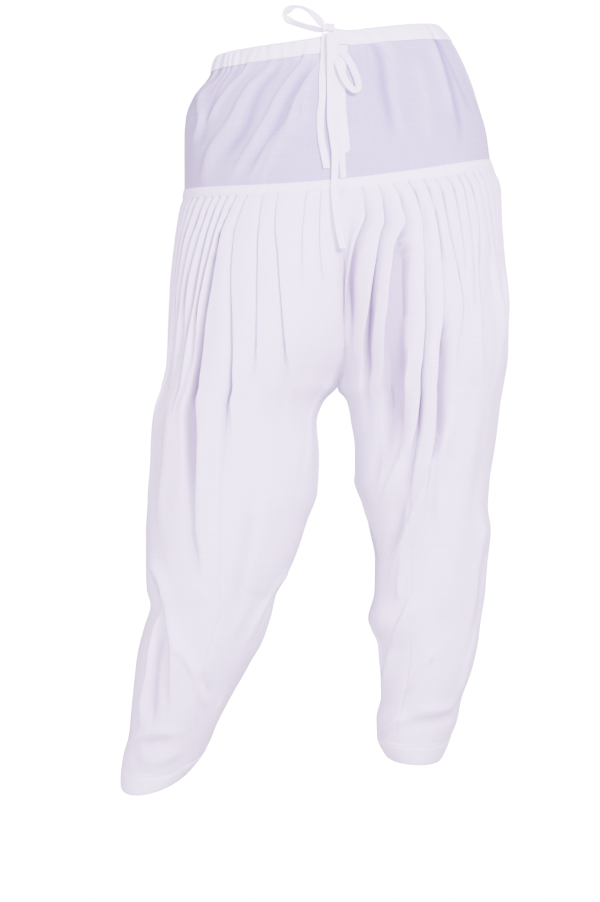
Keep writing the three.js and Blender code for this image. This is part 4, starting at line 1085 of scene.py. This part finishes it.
# Drag folds of the legs, on both halves. Down and along are as in the yoke's folds.
LEG_FOLDS = [
    # side, rise, width, outer, then down and along of each point
    [RIGHT, 8, 12, 0.25, (644, 36), (664, 46), (686, 74), (708, 84), (729, 86), (755, 100), (782, 108),
     (818, 109), (856, 106)],
    [RIGHT, -7, 7, 0.8, (664, 36), (680, 50), (699, 63), (716, 67)],
    [RIGHT, 6, 5, 0.8, (712, 80), (734, 68), (756, 67), (793, 70), (829, 63), (873, 56)],
    [RIGHT, -6, 8, 0.8, (744, 80), (792, 79), (828, 79), (866, 77)],
    [RIGHT, 5.4, 9, 0.3, (757, 100), (782, 126), (801, 137), (828, 147), (854, 156)],
    [RIGHT, -3, 6, 0.8, (798, 142), (819, 154), (836, 165)],
    [RIGHT, -6, 11, 0.8, (460, 134), (551, 129), (599, 130), (647, 132), (700, 133)],
    [RIGHT, 3.6, 8, 0.5, (490, 148), (542, 144), (580, 141), (629, 139), (661, 144), (700, 146)],
    [RIGHT, 3, 13, 0.6, (560, 236), (640, 222), (720, 196), (780, 176)],
    [RIGHT, -2.4, 10, 0.7, (600, 212), (680, 196), (740, 172)],
    [RIGHT, 4, 9, 0.5, (690, 312), (702, 268), (738, 226), (790, 200)],
    [RIGHT, -3, 7, 0.8, (704, 306), (720, 262), (752, 232)],
    [RIGHT, 4, 7, 0.7, (908, 8), (890, 36), (877, 59), (870, 89), (870, 104), (875, 130)],
    [RIGHT, -3, 7, 1, (886, 62), (879, 89), (880, 112)],
    [RIGHT, 2.4, 8, 0.9, (900, 50), (906, 90), (896, 130)],
    [RIGHT, 3, 7, 0.6, (836, 186), (866, 172), (900, 168)],
    [RIGHT, 3, 12, 0.6, (420, 330), (500, 320), (590, 296)],
    [RIGHT, -2.2, 10, 0.7, (440, 350), (520, 346), (600, 322)],
    [RIGHT, 3.4, 14, 0.6, (460, 90), (540, 82), (630, 70)],
    [RIGHT, 2.6, 10, 0.6, (420, 40), (520, 34), (620, 26)],
    [RIGHT, 7, 16, 0.6, (600, -120), (690, -160), (790, -190)],
    [RIGHT, -6, 14, 0.8, (620, -90), (700, -118), (800, -150)],
    [RIGHT, 6, 11, 0.6, (780, -60), (830, -100), (880, -150)],
    [RIGHT, 4, 13, 0.6, (500, -204), (600, -222), (700, -214)],
    [RIGHT, 5, 15, 0.6, (330, -250), (420, -232), (520, -184)],
    [RIGHT, -4, 12, 0.8, (380, -280), (460, -262), (560, -216)],
    [RIGHT, 4, 11, 0.6, (640, -40), (720, -52), (790, -40)],
    [RIGHT, 3.4, 7, 0.6, (862, -86), (890, -126), (904, -160)],
    [RIGHT, -3, 6, 0.8, (846, -110), (880, -150)],
    [RIGHT, 3, 9, 0.6, (700, -230), (760, -210), (820, -214)],
    [LEFT, 7.5, 3, 4.5, (470, 152), (502, 155), (535, 159), (562, 164), (594, 171), (618, 179), (640, 187),
     (662, 193), (687, 207), (716, 220)],
    [LEFT, -7.5, 8, 0.8, (510, 200), (541, 195), (580, 191), (618, 196), (653, 212), (682, 226)],
    [LEFT, 6.5, 3, 3.5, (505, 198), (529, 203), (556, 208), (590, 221), (622, 243)],
    [LEFT, 4.8, 3, 1.4, (652, 183), (676, 185), (695, 187), (724, 185)],
    [LEFT, 6.8, 3, 4.5, (700, 160), (716, 165), (740, 170), (758, 176), (794, 187), (828, 193), (856, 197)],
    [LEFT, 4, 4, 1.4, (776, 121), (799, 130), (819, 135), (842, 138)],
    [LEFT, 5, 7, 0.7, (902, 166), (882, 149), (870, 137), (868, 118)],
    [LEFT, -4, 7, 0.9, (877, 130), (871, 103), (869, 78), (864, 42)],
    [LEFT, 3, 7, 0.8, (856, 120), (858, 90), (852, 50)],
    [LEFT, -4.5, 11, 0.8, (430, 250), (497, 243), (542, 240), (596, 246)],
    [LEFT, 4, 18, 0.8, (462, 109), (542, 107), (650, 110)],
    [LEFT, -4, 9, 0.8, (372, 184), (440, 173), (526, 160)],
    [LEFT, 4, 9, 0.6, (360, 226), (436, 219), (500, 200)],
    [LEFT, 3, 8, 0.6, (330, 80), (366, 68), (410, 64)],
    [LEFT, 4, 12, 0.6, (600, 56), (690, 72), (790, 66)],
    [LEFT, 3.5, 9, 0.6, (744, 38), (800, 58), (856, 48)],
    [LEFT, -2.4, 9, 0.8, (640, 36), (720, 50), (780, 40)],
    [LEFT, 4, 9, 0.6, (556, 328), (596, 290), (640, 262)],
    [LEFT, -3, 8, 0.8, (620, 300), (664, 264), (700, 250)],
    [LEFT, 4, 8, 0.6, (748, 244), (780, 224), (826, 212)],
    [LEFT, 3, 12, 0.6, (400, 340), (480, 330), (560, 300)],
    [LEFT, 7, 16, 0.6, (560, -110), (650, -140), (760, -180)],
    [LEFT, -6, 13, 0.8, (570, -140), (660, -172), (750, -210)],
    [LEFT, 6, 11, 0.6, (740, -50), (800, -80), (860, -120)],
    [LEFT, 5, 15, 0.6, (320, -240), (430, -222), (520, -172)],
    [LEFT, 4, 13, 0.6, (450, -90), (560, -102), (640, -82)],
    [LEFT, -3.4, 10, 0.8, (600, -50), (700, -64), (770, -56)],
    [LEFT, 3.4, 7, 0.6, (830, -150), (862, -170), (890, -160)],
    [LEFT, 3, 6, 0.6, (860, -60), (884, -90), (896, -120)],
]  # fmt: skip

# Places across one pleat, closest together at its folded edge; the hollow's foot is the seventh.
HOLLOW_COLUMN = 1 / 3
PLEAT_PARTS = [0, 0.03, 0.07, 0.12, 0.19, 0.26, HOLLOW_COLUMN, 0.44, 0.56, 0.68, 0.79, 0.89, 0.96]
SEAM_PARTS = [0, 0.01, 0.03, 0.07, 0.14, 0.24, 0.36, 0.5, 0.62, 0.74, 0.84, 0.92, 0.97]


def quarter_columns(start, end):
    """Column 0 is the centre or inner seam, columns 1 to 15 the folded edges, column 16 the side line."""
    columns = [*SEAM_PARTS, PLEAT_COUNT + 1, start, end]
    columns += [i + part for i in range(1, PLEAT_COUNT + 1) for part in PLEAT_PARTS]
    return np.unique(np.round([c for c in columns if start <= c <= end], 6))


def pleat_row(side, half, columns, down):
    """One row of a leg's quarter: each column's distance from the side line, its height off the level, and
    the painted shade of the narrow gap beside a folded edge. The back is pleated like the front, with the
    two sides' pleats swapped."""
    table = -half * side
    crests, hollows, reaches, snaps, gapes, opens, shades = PLEAT_VALUES[table]
    level = leg_level(side, down)
    length = length_of(level, half)
    drawn = length_of(leg_level(table, down), FRONT)
    below = down - LEG_TOP

    # Where the folded edges are at this depth, and how far each crest and hollow stands out.
    wander = 0.5 * smoothstep(20, 120, below)
    edges = [
        edge(down) * length / drawn + wander * math.sin(down / 47 + 2.3 * i + side)
        for i, edge in enumerate(PLEAT_EDGES[table])
    ]
    edges = np.array([length, *edges, 0])
    opened = smoothstep(0, PLEAT_OPENS_OVER, below)
    pressed = 1.2 + 1.6 * smoothstep(0, 14, below)
    left = 1 - smoothstep(reaches * 0.6, reaches, below)
    crest = (pressed + (crests - pressed) * opened) * left
    hollow = (0.8 + (hollows - 0.8) * opened) * left
    crest[[0, -1]] = hollow[[0, -1]] = 0

    # Which pleat each column lies on, and how far across it; "past" counts from the hollow's foot.
    index = np.minimum(np.floor(columns + 1e-9).astype(int), PLEAT_COUNT)
    after = index + 1
    part = columns - index
    past = (part - HOLLOW_COLUMN) / (1 - HOLLOW_COLUMN)
    crisp = (1 - 0.85 * smoothstep(0.5, 1, below / reaches))[index]
    widths = edges[index] - edges[after]
    foot = crisp * np.minimum(0.3, 1.2 / widths) + (1 - crisp) * 0.4
    share = np.where(past > 0, foot + (1 - foot) * past, foot * part / HOLLOW_COLUMN)
    place = edges[index] - widths * np.where(index == 0, part, share)

    # The cloth drops from the folded edge to the hollow's foot and comes back up to the next edge.
    dropped = np.clip(part / HOLLOW_COLUMN, 0, 1)
    drop = crisp * (1 - (1 - dropped) ** 1.6) + (1 - crisp) * smoothstep(0, 1, dropped)
    gaping = (opens * smoothstep(gapes, gapes + 80, down))[index]
    risen = np.clip((past - gaping) / (1 - gaping), 0, 1)
    rise = crisp * (1 - (1 - risen) ** snaps[index]) + (1 - crisp) * smoothstep(0, 1, risen)
    falling = crest[index] - (hollow[index] + crest[index]) * drop
    rising = -hollow[index] + (crest[after] + hollow[index]) * rise
    fold = np.where(past > 0, rising, falling)
    fold = np.where(index == 0, crest[1] * smoothstep(0.5, 1, part), fold)

    # The seams draw the cloth in a little.
    kali = KALI_PLEAT[table]
    seam_share = foot[index == kali][0] if (index == kali).any() else 0
    seam = edges[kali] + (edges[kali + 1] - edges[kali]) * seam_share
    tucked = 0.9 * np.exp(-(((place - seam) / 1.2) ** 2))
    tucked += (1 - smoothstep(300, 400, down)) * 0.8 * np.exp(-(((length - place) / 1.8) ** 2))
    height = fold - tucked
    lean = OVERHANG * np.maximum(fold, 0) * crisp * smoothstep(0, 20, place)
    along = np.clip(place - lean, 0, length - 0.02)

    # The gap's painted shade fades with how far out of the edge's cover the cloth lies,
    # as seen from front or back.
    facing = np.clip(np.abs(on_cloth(level, half, along)[1][:, 1]), LEAST_FACING, 1)
    aside = np.sqrt(1 - facing**2)
    cover = np.maximum(crest, 0)[index] * (aside + OVERHANG * facing)
    bared = (edges[index] - along) * facing + height * aside - cover
    deep = (shades * left)[index] * crisp * (index > 0) * (part > 0.1)
    return along, height, deep * np.exp(-((np.maximum(bared, 0) / GAP_SHADE_WIDTH) ** 2))


HEM_HEIGHT = 26
HEM_DOWN = {RIGHT: 952, LEFT: 928}
# The cloth sinks back between the legs, above the crotch.
VALLEY_DEPTH = 3
# A hollow this deep gets full painted shade.
DEEP_HOLLOW = 9


def leg_quarter(side, half, columns, downs):
    """Points and cloth places of one quarter of a leg, a row for each depth and a column for each place
    across the pleats, and the painted shade there."""
    rows = [pleat_row(side, half, columns, down) for down in downs]
    along, height, gap = (np.array(part) for part in zip(*rows))
    depth = np.repeat(downs[:, None], len(columns), axis=1)
    turned = -half * along
    lengths = np.array([[length_of(leg_level(side, down), half)] for down in downs])
    calm = 1 - smoothstep(lengths - 26, lengths - 2, along)
    drags = calm * fold_height(LEG_FOLDS, side, depth, turned)
    valley = smoothstep(215, 290, depth) * (1 - smoothstep(350, 430, depth)) * (half == FRONT)
    valley *= np.exp(-(((lengths - along) / 8) ** 2))
    # Painted shade: darker in deep hollows, in the narrow gaps under folded edges and in the valley between
    # the legs.
    hollows = np.clip(-(height + 0.9 * drags) / DEEP_HOLLOW, 0, 1) ** 0.8
    thin = np.maximum(np.maximum(hollows, gap), 0.7 * valley)
    ripple = 0.55 * np.sin(turned / 13 + 1.4 * np.sin(depth / 41 + side)) * np.sin(depth / 37 + turned / 53)
    ripple += 0.35 * np.sin(turned / 7.1 + depth / 90 + side) * np.sin(depth / 19 - turned / 31)
    above_hem = HEM_DOWN[side] - HEM_HEIGHT - depth
    free = 0.1 + 0.9 * smoothstep(1, 16, above_hem)
    height += (drags + calm * ripple * smoothstep(187, 230, depth)) * free
    points = []
    for row, down in enumerate(downs):
        line, outward = on_cloth(leg_level(side, down), half, along[row])
        line += outward * height[row][:, None]
        line[:, 1] += VALLEY_DEPTH * valley[row]
        points.append(line)
    return np.array(points), np.stack([turned * side, depth], -1), thin


# The same cambric again; two or three layers lie on each other in the pleats, so it looks whiter than the
# yoke and lets no light through. Its last colour is painted shade for fold hollows, the narrow gaps under
# folded edges and the valley between the legs.
cambric_pleated = woven_cotton(
    "cambric_pleated", "#eae4f2", "#e1daed", "#b3a4c1", 0.0009, 0.00005, 0.0014
)
# The leg's end goes down into the hem facing.
UNDER_HEM = 1.5
for side, word in ((RIGHT, "right"), (LEFT, "left")):
    hem_top = HEM_DOWN[side] - HEM_HEIGHT + UNDER_HEM
    downs = np.concatenate([
        np.linspace(LEG_TOP, 258, 19), np.arange(262, 470, 5.2), np.linspace(471, hem_top, 92)
    ])  # fmt: skip
    pieces, panel = [], []
    for half, where in ((FRONT, "front"), (BACK, "back")):
        seam_column = KALI_PLEAT[-half * side] + HOLLOW_COLUMN
        points, place, thin = leg_quarter(side, half, quarter_columns(0, seam_column), downs)
        kali = cloth_piece(f"kali_{where}_cloth_{word}", points, place, flip=side * half < 0, thin=thin)
        pieces.append((kali, f"kali_{where}_{word}", (0.24, 0.75), 0.13))
        panel.append(leg_quarter(side, half, quarter_columns(seam_column, PLEAT_COUNT + 1), downs))
    points, place, thin = (np.concatenate([a, b[:, ::-1][:, 1:]], 1) for a, b in zip(*panel))
    leg = cloth_piece(f"leg_cloth_{word}", points, place, flip=side == LEFT, thin=thin)
    pieces.append((leg, f"leg_panel_{word}", (0.5, 0.75), 0.33))
    for piece, node, flat, area in pieces:
        hand_over(piece, cambric_pleated, node)

# --- Hems -------------------------------------------------------------------------------------------
# The ankle openings: the leg's end is turned up and faced, 26 mm high, with one row of stitches along its
# top. The doubled cloth is stiffer, so it stands as a smooth band.
HEM_LIFT = 0.5
HEM_ROWS, HEM_SEAM_ROW = 18, 2
for side, word, flat in ((RIGHT, "right", (0.36, 0.027)), (LEFT, "left", (0.34, 0.027))):
    rows, places, seam, seam_out = [], [], [], []
    for row, share in enumerate(np.linspace(0, 1, HEM_ROWS)):
        down = HEM_DOWN[side] - HEM_HEIGHT + HEM_HEIGHT * share
        level = leg_level(side, down)
        puff = 0.5 * math.sin(math.pi * share) - 0.6 * math.exp(-(((share - 0.12) / 0.045) ** 2))
        puff -= 0.8 * math.exp(-(((1 - share) / 0.05) ** 2))
        line, line_place = [], []
        for half, across in ((FRONT, np.linspace(1, 0, 90)), (BACK, np.linspace(0, 1, 90))):
            along = across * length_of(level, half)
            points, outward = on_cloth(level, half, along)
            turned = -half * along
            uneven = 0.5 * np.sin(turned / 9 + 2 * share) * (1 - 0.6 * share)
            uneven += 0.4 * np.sin(turned / 17 + side)
            uneven *= np.sin(np.pi * across) ** 0.5
            side_seam = 0.9 * np.exp(-((turned / 1.4) ** 2))
            points = points + outward * (HEM_LIFT + puff + uneven - side_seam)[:, None]
            kept = slice(1 if line else 0, None)
            line.append(points[kept])
            line_place.append(turned[kept])
            if row == HEM_SEAM_ROW:
                seam.append(points + outward * 0.15)
                seam_out.append(outward)
        rows.append(np.concatenate(line))
        places.append(np.stack([np.concatenate(line_place), np.full(len(rows[-1]), down)], -1))
    hem = cloth_piece(
        f"hem_facing_{word}", np.array(rows), np.array(places), wall=1.3, closed=True, flip=side == LEFT
    )
    hem_stitches = stitch_row(f"hem_stitches_{word}", np.concatenate(seam), np.concatenate(seam_out))
    hand_over(hem, cambric_double, f"hem_band_{word}")
    hand_over(hem_stitches, sewing_thread)

# --- Floor and light --------------------------------------------------------------------------------
# A plain pale studio floor under the worn garment, with wide soft lights from the front and both sides.
FLOOR_DOWN = 1.064
STUDIO_WHITE = 22
ROOM_LIGHT = (0.82, 0.64, 1)
ROOM_STRENGTH = 0.9
SOFTBOX = (0.88, 0.7, 1)
bpy.ops.mesh.primitive_circle_add(vertices=64, radius=9, fill_type="NGON", location=(0, 0, -FLOOR_DOWN))
floor = bpy.context.active_object
floor.name = "studio_floor"
floor_paint, _ = new_material(
    "studio_floor_paint",
    Base_Color=linear("#f7f7f9"),
    Roughness=0.7,
    Emission_Color=(1, 1, 1, 1),
    Emission_Strength=STUDIO_WHITE,
)
floor.data.materials.append(floor_paint)
floor.visible_diffuse = False
floor.visible_glossy = False

# The room lights the cloth softly, and looks plain white itself.
world = bpy.data.worlds.new("studio")
bpy.context.scene.world = world
world.use_nodes = True
nodes, links = world.node_tree.nodes, world.node_tree.links
room = nodes["Background"]
room.inputs["Color"].default_value = (*ROOM_LIGHT, 1)
room.inputs["Strength"].default_value = ROOM_STRENGTH
white = nodes.new("ShaderNodeBackground")
white.inputs["Strength"].default_value = STUDIO_WHITE
seen = nodes.new("ShaderNodeLightPath")
chosen = nodes.new("ShaderNodeMixShader")
for i, output in enumerate((seen.outputs["Is Camera Ray"], room.outputs[0], white.outputs[0])):
    links.new(output, chosen.inputs[i])
links.new(chosen.outputs[0], nodes["World Output"].inputs["Surface"])
for name, place, aim, size, power in (
    ("soft_key", (1.5, -3.1, 1.3), (0, 0, -0.5), 0.9, 600),
    ("soft_low", (0.05, -2.8, -0.95), (0, 0, -0.55), 1.1, 230),
    ("soft_side", (-2.7, -1.4, -0.9), (-0.1, 0, -0.7), 1.2, 260),
    ("soft_far_side", (3.0, -0.9, -0.2), (0, 0, -0.6), 1.4, 70),
):
    lamp = bpy.data.objects.new(name, bpy.data.lights.new(name, "AREA"))
    lamp.data.size = size
    lamp.data.energy = power
    lamp.data.color = SOFTBOX
    lamp.location = place
    away = np.array(place) - np.array(aim)
    tilt = math.acos(away[2] / np.linalg.norm(away))
    lamp.rotation_euler = (tilt, 0, math.atan2(away[1], away[0]) + math.pi / 2)
    bpy.context.collection.objects.link(lamp)
